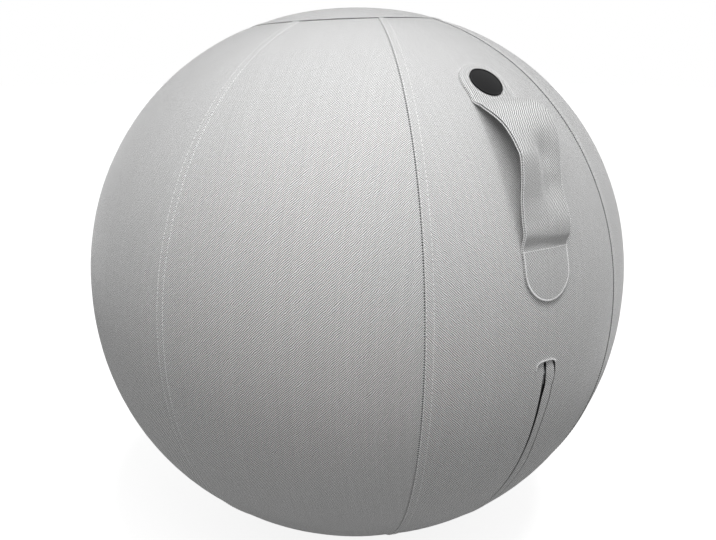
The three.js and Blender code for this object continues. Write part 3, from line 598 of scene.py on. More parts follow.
def keep_cut(mesh, flats, folds=None):
    """Keeps each corner's place in the flat cloth and its painted shade by seams and creases, for the
    material.
    """
    weave = mesh.uv_layers[0] if mesh.uv_layers else mesh.uv_layers.new()
    weave.name = "cloth"
    for loop in mesh.loops:
        weave.data[loop.index].uv = flats[loop.vertex_index]
    if folds:
        # The painted shade is kept as the fold attribute
        layer = mesh.attributes.new("fold", "FLOAT", "POINT")
        for item, value in zip(layer.data, folds):
            item.value = value


def laid_cloth(name, xs, along, place, fold=None, hole=None):
    """Cloth cut flat and laid in place: xs holds each row's places across, and the functions of a
    row and a column give the length along it, the place, the painted shade by seams and creases and what
    is cut out."""
    rows = len(xs)
    columns = len(xs[0])
    deselect_all()
    bpy.ops.mesh.primitive_grid_add(x_subdivisions=columns - 1, y_subdivisions=rows - 1, size=1)
    piece = added(name)

    def row_and_column(point):
        return (0.5 - point.y) * (rows - 1), (point.x + 0.5) * (columns - 1)

    if hole:
        with editing(piece, lambda face: hole(*row_and_column(face.center))):
            bpy.ops.mesh.delete(type="FACE")
    corners = [tuple(map(round, row_and_column(vertex.co))) for vertex in piece.data.vertices]
    flats = [(xs[row][column], -along(row, column)) for row, column in corners]
    keep_cut(piece.data, flats, [fold(*corner) for corner in corners] if fold else None)
    for vertex, corner in zip(piece.data.vertices, corners):
        vertex.co = place(*corner)
    return piece


def copies(name, pattern, places):
    """One piece made of copies of a pattern's mesh, one at each matrix; the pattern is deleted."""
    corners = [v.co.copy() for v in pattern.data.vertices]
    loops = [tuple(p.vertices) for p in pattern.data.polygons]
    vertices = [tuple(matrix @ v) for matrix in places for v in corners]
    starts = range(0, len(vertices), len(corners))
    faces = [tuple(start + v for v in loop) for start in starts for loop in loops]
    bpy.data.objects.remove(pattern)
    mesh = bpy.data.meshes.new(name)
    mesh.from_pydata(vertices, [], faces)
    for face in mesh.polygons:
        face.use_smooth = True
    piece = bpy.data.objects.new(name, mesh)
    bpy.context.collection.objects.link(piece)
    return piece


def finished(piece, slot, finish, *nodes, body="ball"):
    """Gives a piece its material and its body, and hides the CAD nodes that it stands for; the slot is
    not used.
    """
    piece.data.materials.clear()
    piece.data.materials.append(material_of(finish))
    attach(piece, body)
    if nodes:
        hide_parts(*nodes)


# Materials


def node_of(tree, kind, inputs=None, **settings):
    """A node with its settings; inputs are values or sockets by name or number."""
    node = tree.nodes.new(kind)
    for key, value in settings.items():
        setattr(node, key, value)
    for key, value in (inputs or {}).items():
        if isinstance(value, bpy.types.NodeSocket):
            tree.links.new(value, node.inputs[key])
        else:
            node.inputs[key].default_value = value
    return node


def maths(tree, operation, first, second=0.0):
    return node_of(tree, "ShaderNodeMath", {0: first, 1: second}, operation=operation).outputs[0]


def mixed(tree, factor, first, second):
    """A colour between two others: the mix node's colours are its inputs 6 and 7 and output 2."""
    inputs = {0: factor, 6: first, 7: second}
    return node_of(tree, "ShaderNodeMix", inputs, data_type="RGBA").outputs[2]


def new_group(name, inputs, outputs):
    """An empty node group with these sockets, and its two end nodes."""
    group = bpy.data.node_groups.new(name, "ShaderNodeTree")
    for label, kind, default in inputs:
        socket = group.interface.new_socket(label, in_out="INPUT", socket_type=kind)
        if default is not None:
            socket.default_value = default
    for label, kind in outputs:
        group.interface.new_socket(label, in_out="OUTPUT", socket_type=kind)
    return group, group.nodes.new("NodeGroupInput"), group.nodes.new("NodeGroupOutput")


def weave_group():
    """Twill: each warp yarn goes over two wefts and under two, one yarn further in each row, with painted
    shade between the yarns.
    """
    if "Twill" in bpy.data.node_groups:
        return bpy.data.node_groups["Twill"]
    group, start, end = new_group(
        "Twill",
        [
            ("Vector", "NodeSocketVector", None),
            ("Yarns", "NodeSocketFloat", 1850.0),
            ("Slant", "NodeSocketFloat", 1.0),
            ("Warp", "NodeSocketColor", (0.8, 0.8, 0.8, 1)),
            ("Weft", "NodeSocketColor", (0.3, 0.3, 0.3, 1)),
            ("Unevenness", "NodeSocketFloat", 0.09),
        ],
        [("Color", "NodeSocketColor"), ("Height", "NodeSocketFloat")],
    )
    given = start.outputs
    calc = functools.partial(maths, group)

    def vector_maths(operation, inputs):
        return node_of(group, "ShaderNodeVectorMath", inputs, operation=operation).outputs[0]

    def noise(place, scale):
        inputs = {"Vector": place, "Scale": scale, "Detail": 2.0}
        return node_of(group, "ShaderNodeTexNoise", inputs).outputs

    def either(warp, weft):
        return calc("ADD", calc("MULTIPLY", warp, warp_up), calc("MULTIPLY", weft, weft_up))

    scaled = vector_maths("SCALE", {0: given["Vector"], "Scale": given["Yarns"]})
    drift = noise(scaled, DRIFT_SCALE)["Color"]
    pulled = vector_maths("MULTIPLY_ADD", {0: drift, 1: (DRIFT, DRIFT, 0.0), 2: scaled})
    axes = node_of(group, "ShaderNodeSeparateXYZ", {0: pulled}).outputs
    u = calc("MULTIPLY", axes["X"], given["Slant"])
    v = axes["Y"]
    column = calc("FLOOR", u)
    row = calc("FLOOR", v)
    step = calc("FLOORED_MODULO", calc("ADD", column, row), TWILL_REPEAT)
    warp_up = calc("LESS_THAN", step, (TWILL_REPEAT - 1) / 2)
    weft_up = calc("SUBTRACT", 1.0, warp_up)
    crowns = []
    for along in (u, v):
        off = calc("SUBTRACT", calc("FRACT", along), 0.5)
        square = calc("MULTIPLY", off, off)
        crowns.append(calc("SUBTRACT", 1.0, calc("MULTIPLY", square, YARN_CURVE)))
    height = either(*crowns)
    shades = []
    for index, stretch in ((column, (1.0, SLUB, 1.0)), (row, (SLUB, 1.0, 1.0))):
        own = node_of(group, "ShaderNodeTexWhiteNoise", {"W": index}, noise_dimensions="1D")
        slub = noise(vector_maths("MULTIPLY", {0: scaled, 1: stretch}), 1.0)["Fac"]
        both = calc("SUBTRACT", calc("ADD", own.outputs["Value"], slub), 1.0)
        shades.append(calc("ADD", 1.0, calc("MULTIPLY", both, given["Unevenness"])))
    # Painted shade between the yarns, on top of their own random tones
    hollow = calc("ADD", 1 - HOLLOW_SHADE, calc("MULTIPLY", height, HOLLOW_SHADE))
    shade = calc("MULTIPLY", either(*shades), hollow)
    yarn = mixed(group, warp_up, given["Weft"], given["Warp"])
    toned = vector_maths("SCALE", {0: yarn, "Scale": shade})
    group.links.new(toned, end.inputs["Color"])
    group.links.new(height, end.inputs["Height"])
    return group


def new_material(name, values):
    """A material and its shader, with the values that are the same all over."""
    material = bpy.data.materials.new(name)
    material.use_nodes = True
    shader = material.node_tree.nodes["Principled BSDF"]
    for key, value in values.items():
        shader.inputs[key].default_value = value
    return material, material.node_tree, shader


def bumped(tree, shader, height, strength, distance):
    inputs = {"Height": height, "Strength": strength, "Distance": distance}
    bump = node_of(tree, "ShaderNodeBump", inputs)
    tree.links.new(bump.outputs["Normal"], shader.inputs["Normal"])


def cloth_material(name, yarn, slant, light, dark):
    """Woven cloth on the piece's own cloth map, with the soft sheen of its fibres and painted shade in
    its seams and creases.
    """
    fibres = {"Roughness": 0.95, "Sheen Weight": 0.6, "Sheen Roughness": 0.35, "Specular IOR Level": 0.15}
    material, tree, shader = new_material(name, fibres)
    place = node_of(tree, "ShaderNodeUVMap", uv_map="cloth")
    inputs = {
        "Vector": place.outputs["UV"],
        "Yarns": 1 / yarn,
        "Slant": slant,
        "Warp": (*light, 1),
        "Weft": (*dark, 1),
    }
    twill = node_of(tree, "ShaderNodeGroup", inputs, node_tree=weave_group())
    # Painted shade: the fold attribute darkens the base colour where the cloth goes into seams and
    # creases
    fold = node_of(tree, "ShaderNodeAttribute", attribute_name="fold")
    shadow = maths(tree, "MULTIPLY", fold.outputs["Fac"], PAINTED_SHADE_STRENGTH)
    shown = mixed(tree, shadow, twill.outputs["Color"], PAINTED_SHADE_COLOR)
    tree.links.new(shown, shader.inputs["Base Color"])
    bumped(tree, shader, twill.outputs["Height"], YARN_BUMP, yarn / 3)
    return material


def mottled_material(name, base, roughness, scale, change, metallic=0.0, specular=0.5):
    """A smooth finish whose colour, gloss and surface change slightly from place to place."""
    values = {"Metallic": metallic, "Specular IOR Level": specular}
    material, tree, shader = new_material(name, values)
    place = node_of(tree, "ShaderNodeTexCoord").outputs["Object"]
    noise = node_of(tree, "ShaderNodeTexNoise", {"Vector": place, "Scale": scale, "Detail": 4.0})
    spots = noise.outputs["Fac"]
    dark = [part * (1 - change) for part in base]
    light = [min(1, part * (1 + change)) for part in base]
    tree.links.new(mixed(tree, spots, (*dark, 1), (*light, 1)), shader.inputs["Base Color"])
    varied = maths(tree, "MULTIPLY", spots, GLOSS_CHANGE)
    gloss = maths(tree, "ADD", varied, roughness - GLOSS_CHANGE / 2)
    tree.links.new(gloss, shader.inputs["Roughness"])
    bumped(tree, shader, spots, SPOT_BUMP, SPOT_HEIGHT)
    return material


def material_of(name):
    """The chair's materials by name, each made when it is first asked for."""
    if name in bpy.data.materials:
        return bpy.data.materials[name]
    size = cover()
    tape = zipper().tape_color
    shade = handle().cloth_shade
    # Slant of the twill, colours of its warp and weft, and how much of them is left
    cloths = {
        "cover_cloth": (1, size.light_yarn, size.dark_yarn, 1),
        "mirrored_cloth": (-1, size.light_yarn, size.dark_yarn, 1),
        "strap_cloth": (-1, size.light_yarn, size.dark_yarn, shade),
        "tape_cloth": (1, tape, [part / 2 for part in tape], 1),
    }
    if name in cloths:
        slant, *yarns, left = cloths[name]
        light, dark = ([part * left for part in yarn] for yarn in yarns)
        return cloth_material(name, size.yarn, slant, light, dark)
    # Colour, roughness, fineness and strength of the mottling, metallic and specular
    finishes = {
        "thread": (size.thread, 0.7, 900, 0.12),
        "badge": (handle().badge_color, 0.5, 500, 0.2, 0.0, 0.12),
        "coil": (zipper().coil_color, 0.4, 700, 0.2),
        "slider_metal": (zipper().metal_color, 0.38, 900, 0.15, 0.8),
        "tab_metal": (zipper().tab_color, 0.45, 900, 0.15, 0.3),
        "ball_vinyl": ((0.18, 0.19, 0.2), 0.45, 120, 0.1),
        "valve": ((0.75, 0.75, 0.72), 0.45, 500, 0.05),
    }
    return mottled_material(name, *finishes[name])


# Gores and caps


def arc_lengths(polars):
    """Lengths along the profile from the equator, downwards, at each of the angles."""
    steps = 400
    table = [0.0]
    for i in range(steps):
        low = math.pi * i / steps
        high = math.pi * (i + 1) / steps
        a = polar_point(cover_radius(low), low, 0)
        b = polar_point(cover_radius(high), high, 0)
        table.append(table[-1] + (b - a).length)
    middle = table[steps // 2]
    found = []
    for polar in polars:
        at = polar / math.pi * steps
        low = min(int(at), steps - 1)
        found.append(table[low] + (table[low + 1] - table[low]) * (at - low) - middle)
    return found


def gore_rows(count):
    radius = cover().ball_radius
    start = cap_angle() * radius
    end = (math.pi - cap_angle()) * radius
    return [s / radius for s in seam_spaced(start, end, count)]


def seam_painted_shade(polar, x):
    """Painted shade of a gore by its seams at a place: most at the hem on its left."""
    from_cap = (min(polar, math.pi - polar) - cap_angle()) * cover().ball_radius
    from_seam = half_width(polar) - abs(x)
    side = painted_shade_at(from_seam - SEAM_STEPS[0], HEM_SHADE_WIDTH if x < 0 else PLAIN_SHADE_WIDTH)
    return max(side, painted_shade_at(from_cap - SEAM_STEPS[0]))


def shell(piece):
    """Gives laid cloth its thickness."""
    modified(piece, "SOLIDIFY", thickness=cover().cloth, offset=-1, use_even_offset=True)
    return smoothed(piece, 50)


def plain_gore(index):
    """A gore with no zip: cut flat, laid on the ball and given its thickness."""
    polars = gore_rows(GORE_ROWS)
    lengths = arc_lengths(polars)
    xs = [seam_spaced(-half_width(p), half_width(p), GORE_COLUMNS) for p in polars]
    middle = 2 * HALF_GORE * index
    piece = laid_cloth(
        f"{GORE_NAMES[index]}_cloth",
        xs,
        lambda row, column: lengths[row],
        lambda row, column: on_gore(polars[row], xs[row][column], 0, middle),
        lambda row, column: seam_painted_shade(polars[row], xs[row][column]),
    )
    return shell(piece)


def front_rows():
    """Rows of the front gore, close together round the ends of the zip's window."""
    size = zipper()
    rows = gore_rows(1)
    folds = [step / cover().ball_radius for step in FOLD_STEPS]
    above = [size.top - fold for fold in reversed(folds)]
    below = [size.end + fold for fold in folds]
    edge = len(SEAM_STEPS)
    upper = spread(rows[edge - 1], above[0], ROWS_ABOVE)
    lower = spread(below[-1], rows[-edge], ROWS_BELOW)
    window = spread(size.top, size.end, WINDOW_ROWS)
    return rows[: edge - 1] + upper[:-1] + above + window + below[:-1] + lower + rows[1 - edge :]


def front_columns(half):
    """Columns of the front gore, with the window's sides and its folded edge among them."""
    window = zipper().half_width
    turns = spread(0, math.pi / 2, WINDOW_COLUMNS)[1:]
    fold = [window + step for step in FOLD_STEPS]
    last = [half - step for step in reversed(SEAM_STEPS)]
    right = [window * math.sin(turn) for turn in turns] + fold
    right += spread(fold[-1], last[0], SIDE_COLUMNS)[1:] + last[1:]
    return [-x for x in reversed(right)] + [0.0] + right


def creased(polar, x):
    """Places beside the zip, moved with the crease at the right lip, which wanders a little."""
    window = zipper().half_width
    if x <= CREASE_START:
        return x
    if x < window:
        near = smooth((x - CREASE_START) / (window - CREASE_START))
    else:
        near = 1 - smooth((x - window) / CREASE_FADE)
    return x + along_curve(CREASE_PATH, math.degrees(polar)) * MM * near


def arch_share(share_across):
    """Share of an arch's height at a share of its half width, and the other way round."""
    power = zipper().arch_power
    return (1 - min(share_across, 1) ** power) ** (1 / power)


def arched(polar, x):
    """A row's angle, moved so that the window's ends are arched."""
    size = zipper()
    radius = cover().ball_radius
    height = size.arch * arch_share(abs(x) / size.half_width)
    above = (size.top - polar) * radius
    below = (polar - size.end) * radius
    if above > -TINY:
        return polar - bent_in(height / radius, above, ARCH_REACH)
    if below > -TINY:
        return polar + bent_in(height / radius, below, ARCH_REACH)
    return polar


def arch_relief(polar, x):
    """Height of the stitched ridge round the window's top, and of the crease at its right side."""
    size = zipper()
    up = (size.top - polar) * cover().ball_radius
    if up <= 0:
        distance = max(0, abs(x) - size.half_width)
    else:
        power = size.arch_power
        share_out = ((abs(x) / size.half_width) ** power + (up / size.arch) ** power) ** (1 / power)
        distance = max(0, 1 - 1 / max(share_out, TINY)) * math.hypot(x, up)
    fade = smooth(1 + up / RIDGE_FADE)
    ridge = size.ridge * fade * math.exp(-((distance / size.ridge_width) ** 2))
    if x < size.half_width - TINY or up > 0 or polar > size.end:
        return ridge
    return ridge - bent_in(size.crease, x - size.half_width, CREASE_WIDTH)


def front_gore():
    """The gore with the zip: the window's faces are left out and its ends arched."""
    size = zipper()
    polars = front_rows()
    xs = [front_columns(half_width(p)) for p in polars]
    first = next(i for i, p in enumerate(polars) if p > size.top - TINY)
    last = max(i for i, p in enumerate(polars) if p < size.end + TINY)
    centre = len(xs[0]) // 2
    moved = [[arched(p, x) for x in row] for p, row in zip(polars, xs)]
    lengths = [arc_lengths(row) for row in moved]

    def place(row, column):
        polar = moved[row][column]
        x = xs[row][column]
        return on_gore(polar, creased(polar, x), arch_relief(polar, x))

    # Painted shade at the window's right side, by the crease, and by the seams
    def fold(row, column):
        polar = polars[row]
        x = xs[row][column]
        if size.top <= polar <= size.end and x > size.half_width - TINY:
            return painted_shade_at(x - size.half_width, WINDOW_SHADE_WIDTH)
        return seam_painted_shade(polar, x)

    def in_window(row, column):
        return first < row < last and abs(column - centre) < WINDOW_COLUMNS

    piece = laid_cloth(
        "gore_front_cloth", xs, lambda row, column: lengths[row][column], place, fold, in_window
    )
    return shell(piece)


def cap(name, is_top):
    """A round cap: a disc inset into rings, laid on the ball's top or bottom."""
    radius = cover().ball_radius
    edge = cap_angle() * radius
    rings = [edge - step for step in SEAM_STEPS]
    rings += spread(rings[-1], CAP_CORE, CAP_RINGS)[1:]
    deselect_all()
    bpy.ops.mesh.primitive_circle_add(vertices=GORES * 16, radius=rings[0], fill_type="NGON")
    piece = added(name)
    with editing(piece):
        for outer, inner in zip(rings, rings[1:]):
            bpy.ops.mesh.inset(thickness=0)
            bpy.ops.transform.resize(value=[inner / outer] * 3)
        bpy.ops.mesh.poke()
    corners = piece.data.vertices
    # Painted shade by the cap's seam
    folds = [painted_shade_at(rings[0] - corner.co.length, CAP_SHADE_WIDTH) for corner in corners]
    keep_cut(piece.data, [corner.co.xy for corner in corners], folds)
    for corner in corners:
        polar = min(corner.co.length / radius, cap_angle())
        azimuth = math.atan2(corner.co.x, -corner.co.y)
        if not is_top:
            polar = math.pi - polar
        place = settled(polar, azimuth)
        corner.co = polar_point(cover_radius(place) - seam_depth(polar, 0), place, azimuth)
    if not is_top:
        with editing(piece):
            bpy.ops.mesh.flip_normals()
    return shell(piece)


# Stitches


def stitch_pattern(long, wide):
    """One stitch along X: a thread that rises from its hole and goes back in."""
    deselect_all()
    bpy.ops.mesh.primitive_uv_sphere_add(segments=6, ring_count=5, radius=0.5)
    piece = added("stitch")
    with editing(piece):
        bpy.ops.transform.resize(value=(wide, wide, long))
    piece.data.transform(Matrix.Rotation(math.pi / 2, 4, "Y"))
    return piece


def standing(point, along, normal):
    """The matrix of a copy at a point, its X along the row and its Z out of the cloth."""
    side = normal.cross(along).normalized()
    along = side.cross(normal)
    matrix = Matrix((along, side, normal)).transposed().to_4x4()
    matrix.translation = point
    return matrix


def spaced(line, pitch):
    """Point, direction and normal at each step of a pitch along a line of (point, normal) places."""
    travelled = pitch / 2
    for (a, normal), (b, _) in zip(line, line[1:]):
        gap = (b - a).length
        while travelled < gap:
            yield a.lerp(b, travelled / gap), (b - a).normalized(), normal
            travelled += pitch
        travelled -= gap


def stitch_row(name, line, pitch, long, wide):
    """Stitches along a line of (point, normal) places."""
    places = [standing(*place) for place in spaced(line, pitch)]
    return copies(name, stitch_pattern(long, wide), places)


def crosswise(name, line, pitch, long, wide, tilt=0.0, shift=0.0):
    """Stitches across a line of (point, normal) places, tilted from square and shifted to its left."""
    places = []
    for point, along, normal in spaced(line, pitch):
        side = normal.cross(along)
        across = Matrix.Rotation(tilt, 3, normal) @ side
        places.append(standing(point + side * shift, across, normal))
    return copies(name, stitch_pattern(long, wide), places)


def joined(name, pieces):
    """Several pieces as one."""
    deselect_all()
    for piece in pieces:
        piece.select_set(True)
    bpy.context.view_layer.objects.active = pieces[0]
    bpy.ops.object.join()
    return added(name)


def surface_line(place, start, end, count):
    """Dense (point, normal) places on a surface along a straight line of its two coordinates."""
    steps = zip(spread(start[0], end[0], count), spread(start[1], end[1], count))
    return [point_and_normal(place, u, v) for u, v in steps]


def seam_stitching(index):
    """The two rows of stitches along the hem at a gore's left edge, and the threads across its seam."""
    size = cover()
    middle = 2 * HALF_GORE * index
    start = cap_angle() + SEAM_CLEAR
    end = math.pi - cap_angle() - SEAM_CLEAR

    def hem_line(offset, height, count=500):
        def place(polar, inwards):
            return on_gore(polar, inwards - half_width(polar), height, middle)

        return surface_line(place, (start, offset), (end, offset), count)

    sizes = (size.stitch_pitch, size.stitch_length, size.thread_width)
    offsets = (size.near_row, size.far_row)
    rows = [stitch_row("stitch_row", hem_line(offset, ROW_HEIGHT), *sizes) for offset in offsets]
    ditch = hem_line(DITCH_SIDE, -DITCH_DEPTH)
    sizes = (size.ditch_pitch, DITCH_LENGTH, DITCH_WIDTH)
    rows.append(crosswise("ditch_row", ditch, *sizes, shift=-DITCH_SIDE))
    return joined(f"{GORE_NAMES[index]}_stitches", rows)


def cap_stitching(name, is_top):
    """Short threads across a cap's seam, close together."""
    size = cover()
    polar = cap_angle() if is_top else math.pi - cap_angle()
    depth = size.seam_dip - size.hem_rise + CAP_THREAD_DEPTH
    around = 2 * math.pi * cover_radius(polar) * math.sin(polar)
    places = []
    for azimuth in spread(0, 2 * math.pi, round(around / size.ditch_pitch))[:-1]:
        at = settled(polar, azimuth)
        point = polar_point(cover_radius(at) - depth, at, azimuth)
        normal = (point - Vector((0, 0, floor_drop()))).normalized()
        down = polar_point(cover_radius(at) - depth, at + 0.001, azimuth) - point
        places.append(standing(point, down.normalized(), normal))
    return copies(name, stitch_pattern(DITCH_LENGTH, CAP_THREAD_WIDTH), places)


# Handle


def along_curve(points, at):
    """Height at a place on a smooth curve through (place, height) points."""
    last = len(points) - 1
    i = next(i for i in range(last) if at <= points[i + 1][0])

    def slope(k):
        low = points[max(k - 1, 0)]
        high = points[min(k + 1, last)]
        return (high[1] - low[1]) / (high[0] - low[0])

    span = points[i + 1][0] - points[i][0]
    t = (at - points[i][0]) / span
    rise = points[i + 1][1] - points[i][1]
    blend = t * t * (3 - 2 * t)
    bend = t * (1 - t) ** 2 * slope(i) - t * t * (1 - t) * slope(i + 1)
    return points[i][1] + rise * blend + span * bend


def loop_rise(polar, side=0.0):
    """Height of the loop's underside above the cover; side is -1 at its left edge, 1 at its right."""
    size = handle()
    along = (polar - size.lift) / (size.land - size.lift)
    if along <= 0 or along >= 1:
        return 0
    left = along_curve(LEFT_EDGE, along)
    right = along_curve(RIGHT_EDGE, along)
    rise = left + (right - left) * smooth((side + 1) / 2)
    return max(0, size.rise * rise + loop_dents(polar, side))


def loop_dents(polar, side):
    """Soft unevenness of the loop."""
    degrees = math.degrees(polar)
    total = 0
    for height, place, length_reach, middle, side_reach in LOOP_DENTS:
        off = ((degrees - place) / length_reach) ** 2
        total += height * math.exp(-off - ((side - middle) / side_reach) ** 2)
    return total * MM


def meridian_point(polar, side=0.0):
    return polar_point(cover_radius(polar) + loop_rise(polar, side), polar, 0)


def strap_point(polar, x, ply):
    """A place on the outer face of the lining (ply 1) or of the strap (ply 2)."""
    size = handle()
    side = max(-1, min(1, 2 * x / size.width))
    down = meridian_point(polar + LOOP_STEP, side) - meridian_point(polar - LOOP_STEP, side)
    normal = down.normalized().cross(Vector((1, 0, 0)))
    loose = meridian_point(polar, side) + normal * size.loose_ply * ply
    loose.x = x
    lifted = smooth(loop_rise(polar, side) / LOOP_LEAVES)
    return on_gore(polar, x, size.sewn_ply * ply).lerp(loose, lifted)


def strap_half_width(polar, edge=0.0):
    """Half the strap's width, an edge in from its outline: its ends are half circles."""
    size = handle()
    half = size.width / 2
    from_end = min(polar - size.top, size.end - polar) * cover_radius(polar)
    if from_end >= half:
        return half - edge
    return math.sqrt(max(0, (half - edge) ** 2 - (half - from_end) ** 2))


def strap_rows(edge):
    """Angles along the strap, close together on its round ends."""
    size = handle()
    half = size.width / 2
    turns = spread(STRAP_END, math.pi / 2, STRAP_END_ROWS)[:-1]
    steps = [half - (half - edge) * math.cos(turn) for turn in turns]
    top = [size.top + step / cover_radius(size.top) for step in steps]
    end = [size.end - step / cover_radius(size.end) for step in reversed(steps)]
    first = size.top + half / cover_radius(size.top)
    last = size.end - half / cover_radius(size.end)
    return top + spread(first, last, STRAP_ROWS) + end


def strap_columns(half):
    near = [-half + step * half / STRAP_HALF for step in STRAP_EDGE]
    return near + spread(near[-1], -near[-1], STRAP_COLUMNS)[1:-1] + [-x for x in reversed(near)]


def path_lengths(path):
    """Length along a path at each of its points."""
    lengths = [0.0]
    for a, b in zip(path, path[1:]):
        lengths.append(lengths[-1] + math.dist(a, b))
    return lengths


def ply_cloth(name, ply):
    """One ply of the strap, cut flat with round ends and laid over the loop."""
    size = handle()
    edge = size.lining_edge * (ply - 1)
    polars = strap_rows(edge)
    xs = [strap_columns(strap_half_width(p, edge)) for p in polars]
    lengths = path_lengths([meridian_point(p) for p in polars])
    piece = laid_cloth(
        name,
        xs,
        lambda row, column: lengths[row],
        lambda row, column: strap_point(polars[row], xs[row][column], ply),
    )
    modified(piece, "SOLIDIFY", thickness=size.ply, offset=-1, use_even_offset=True)
    rounding = size.ply * STRAP_CORNER
    modified(piece, "BEVEL", width=rounding, segments=3, angle_limit=math.radians(60))
    return smoothed(piece, 50)


def on_strap(polar, x):
    return strap_point(polar, x, 2)


def end_outline(is_top, inset, side_reach, count=160):
    """Dense places round a sewn end, an inset from its edge, with straight sides that far up."""
    size = handle()
    half = size.width / 2
    sign = -1 if is_top else 1
    tip = size.top if is_top else size.end
    middle = tip - sign * half / cover_radius(tip)
    straight = middle - sign * side_reach / cover_radius(middle)
    places = [(straight, half - inset)]
    for i in range(count + 1):
        turn = math.pi * i / count
        along = (half - inset) * math.sin(turn) / cover_radius(middle)
        places.append((middle + sign * along, (half - inset) * math.cos(turn)))
    return places + [(straight, inset - half)]


def line_over(place, corners, count=12):
    """Dense (point, normal) places on a surface through corners given by its two coordinates."""
    line = []
    radius = cover().ball_radius
    for start, end in zip(corners, corners[1:]):
        far = math.hypot((end[0] - start[0]) * radius, end[1] - start[1]) > 4 * MM
        line += surface_line(place, start, end, count if far else 1)[:-1]
    return line + surface_line(place, corners[-2], corners[-1], 1)[-1:]


def loop_edge(side, ply, start, inset=0.0):
    """Dense (point, normal) places down one edge of the loop, at a ply's outer face."""
    size = handle()
    x = side * (size.width / 2 - inset)
    polars = spread(start, size.land, 300)
    return [(strap_point(polar, x, ply), Vector((side, 0, 0))) for polar in polars]


def edge_threads(side):
    """Thread along the edges of the loop's plies, and wound over them on its lower half."""
    size = handle()
    word = "left" if side < 0 else "right"
    lining = loop_edge(side, LINING_LEVEL, size.lift)
    strap = loop_edge(side, STRAP_LEVEL, size.lift, size.lining_edge)
    rows = [stitch_row("edge_row", line, *EDGE_ROW) for line in (lining, strap)]
    halfway = (size.lift + size.land) / 2
    lower = loop_edge(side, WOUND_LEVEL, halfway, size.lining_edge / 2)
    rows.append(crosswise("wound_row", lower, *WOUND_ROW, side * WOUND_TILT))
    return joined(f"{word}_edge_threads", rows)


def strap_stitching():
    """The rows that sew the strap down: round its ends, across it and round the badge."""
    size = handle()
    half = size.width / 2
    centre = size.end - half / cover_radius(size.end)
    reach = (centre - size.land) * cover_radius(centre)
    edge = line_over(on_strap, end_outline(False, STRAP_INSET, reach))
    rows = [crosswise("lower_edge", edge, *LOWER_EDGE, LOWER_TILT)]
    side = half - STRAP_INSET
    across = line_over(on_strap, [(size.land, -side), (size.land, side)], 60)
    rows.append(stitch_row("cross_row", across, *CROSS_ROW))
    middle = size.top + half / cover_radius(size.top)
    reach = (size.lift - middle) * cover_radius(middle)
    for inset, pitch, wide in UPPER_ROWS:
        line = line_over(on_strap, end_outline(True, inset, reach))
        rows.append(stitch_row("upper_row", line, pitch, pitch * UPPER_FILL, wide))
    ring = []
    out = size.badge_radius + BADGE_CLEAR
    for turn in spread(0, 2 * math.pi, 72):
        down = out * math.sin(turn) / cover_radius(size.badge_place)
        ring.append((size.badge_place + down, out * math.cos(turn)))
    rows.append(stitch_row("badge_row", line_over(on_strap, ring), *BADGE_ROW))
    return joined("strap_stitches", rows)


# Badge


def badge_piece():
    """A low domed disc with a round rim, bent to the strap that it is sewn to."""
    size = handle()
    deselect_all()
    bpy.ops.mesh.primitive_circle_add(vertices=96, radius=size.badge_radius, fill_type="NGON")
    piece = added("badge_disc")
    with editing(piece):
        bpy.ops.mesh.extrude_region_move(TRANSFORM_OT_translate={"value": (0, 0, size.badge_rim)})
        for inset, up in BADGE_STEPS:
            bpy.ops.mesh.inset(thickness=inset)
            bpy.ops.transform.translate(value=(0, 0, up))
        for share_in in BADGE_RINGS:
            bpy.ops.mesh.inset(thickness=0)
            bpy.ops.transform.resize(value=(share_in, share_in, 1), center_override=(0, 0, 0))
        bpy.ops.mesh.poke()
    flat_radius = size.badge_radius - sum(inset for inset, up in BADGE_STEPS)
    face = size.badge_rim + sum(up for inset, up in BADGE_STEPS)
    for vertex in piece.data.vertices:
        out = math.hypot(vertex.co.x, vertex.co.y)
        if out < flat_radius + TINY and vertex.co.z > face - 10 * TINY:
            vertex.co.z = face + size.badge_crown * (1 - (out / flat_radius) ** 2)
    modified(piece, "BEVEL", width=BADGE_ROUNDING, segments=3, angle_limit=math.radians(40))
    seat = size.sewn_ply * 2 + BADGE_LIFT
    for vertex in piece.data.vertices:
        x, down, height = vertex.co.x, -vertex.co.y, vertex.co.z
        polar = size.badge_place + down / cover_radius(size.badge_place)
        vertex.co = on_gore(polar, x, seat + height)
    return smoothed(piece, 40)


# Zip


def zip_arc():
    """Centre and radius of the arc that the zip's hidden pieces follow, in the plane x = 0."""
    size = zipper()
    places = [size.top, (size.top + size.end) / 2, size.end]
    a, b, c = (polar_point(cover_radius(p), p, 0) for p in places)
    ab = a - b
    cb = c - b
    cross = 2 * (ab.y * cb.z - ab.z * cb.y)
    y = (cb.z * ab.length_squared - ab.z * cb.length_squared) / cross
    z = (ab.y * cb.length_squared - cb.y * ab.length_squared) / cross
    centre = b + Vector((0, y, z))
    return centre, (a - centre).length


def zip_turn(polar):
    """Turn about +X, from straight ahead, of a place on the zip."""
    offset = polar_point(cover_radius(polar), polar, 0) - zip_arc()[0]
    return math.atan2(-offset.z, -offset.y)


def zip_point(x, depth, turn):
    centre, radius = zip_arc()
    out = radius - depth
    return centre + Vector((x, -out * math.cos(turn), -out * math.sin(turn)))


def slot_edge(polar, side):
    """Distance from the zip's middle to the edge of a lip."""
    size = zipper()
    radius = cover().ball_radius
    from_end = min(polar - size.top, size.end - polar) * radius
    narrow = smooth((from_end - size.gape) / size.gape_fade)
    gap = size.gap_wide + (size.gap_narrow - size.gap_wide) * narrow
    if polar < size.top:
        gap += (size.gap_top - gap) * min(1, (size.top - polar) * radius / size.arch)
    if side < 0:
        return gap / 2
    return gap / 2 + BULGE * math.exp(-(((math.degrees(polar) - BULGE_PLACE) / BULGE_LENGTH) ** 2))


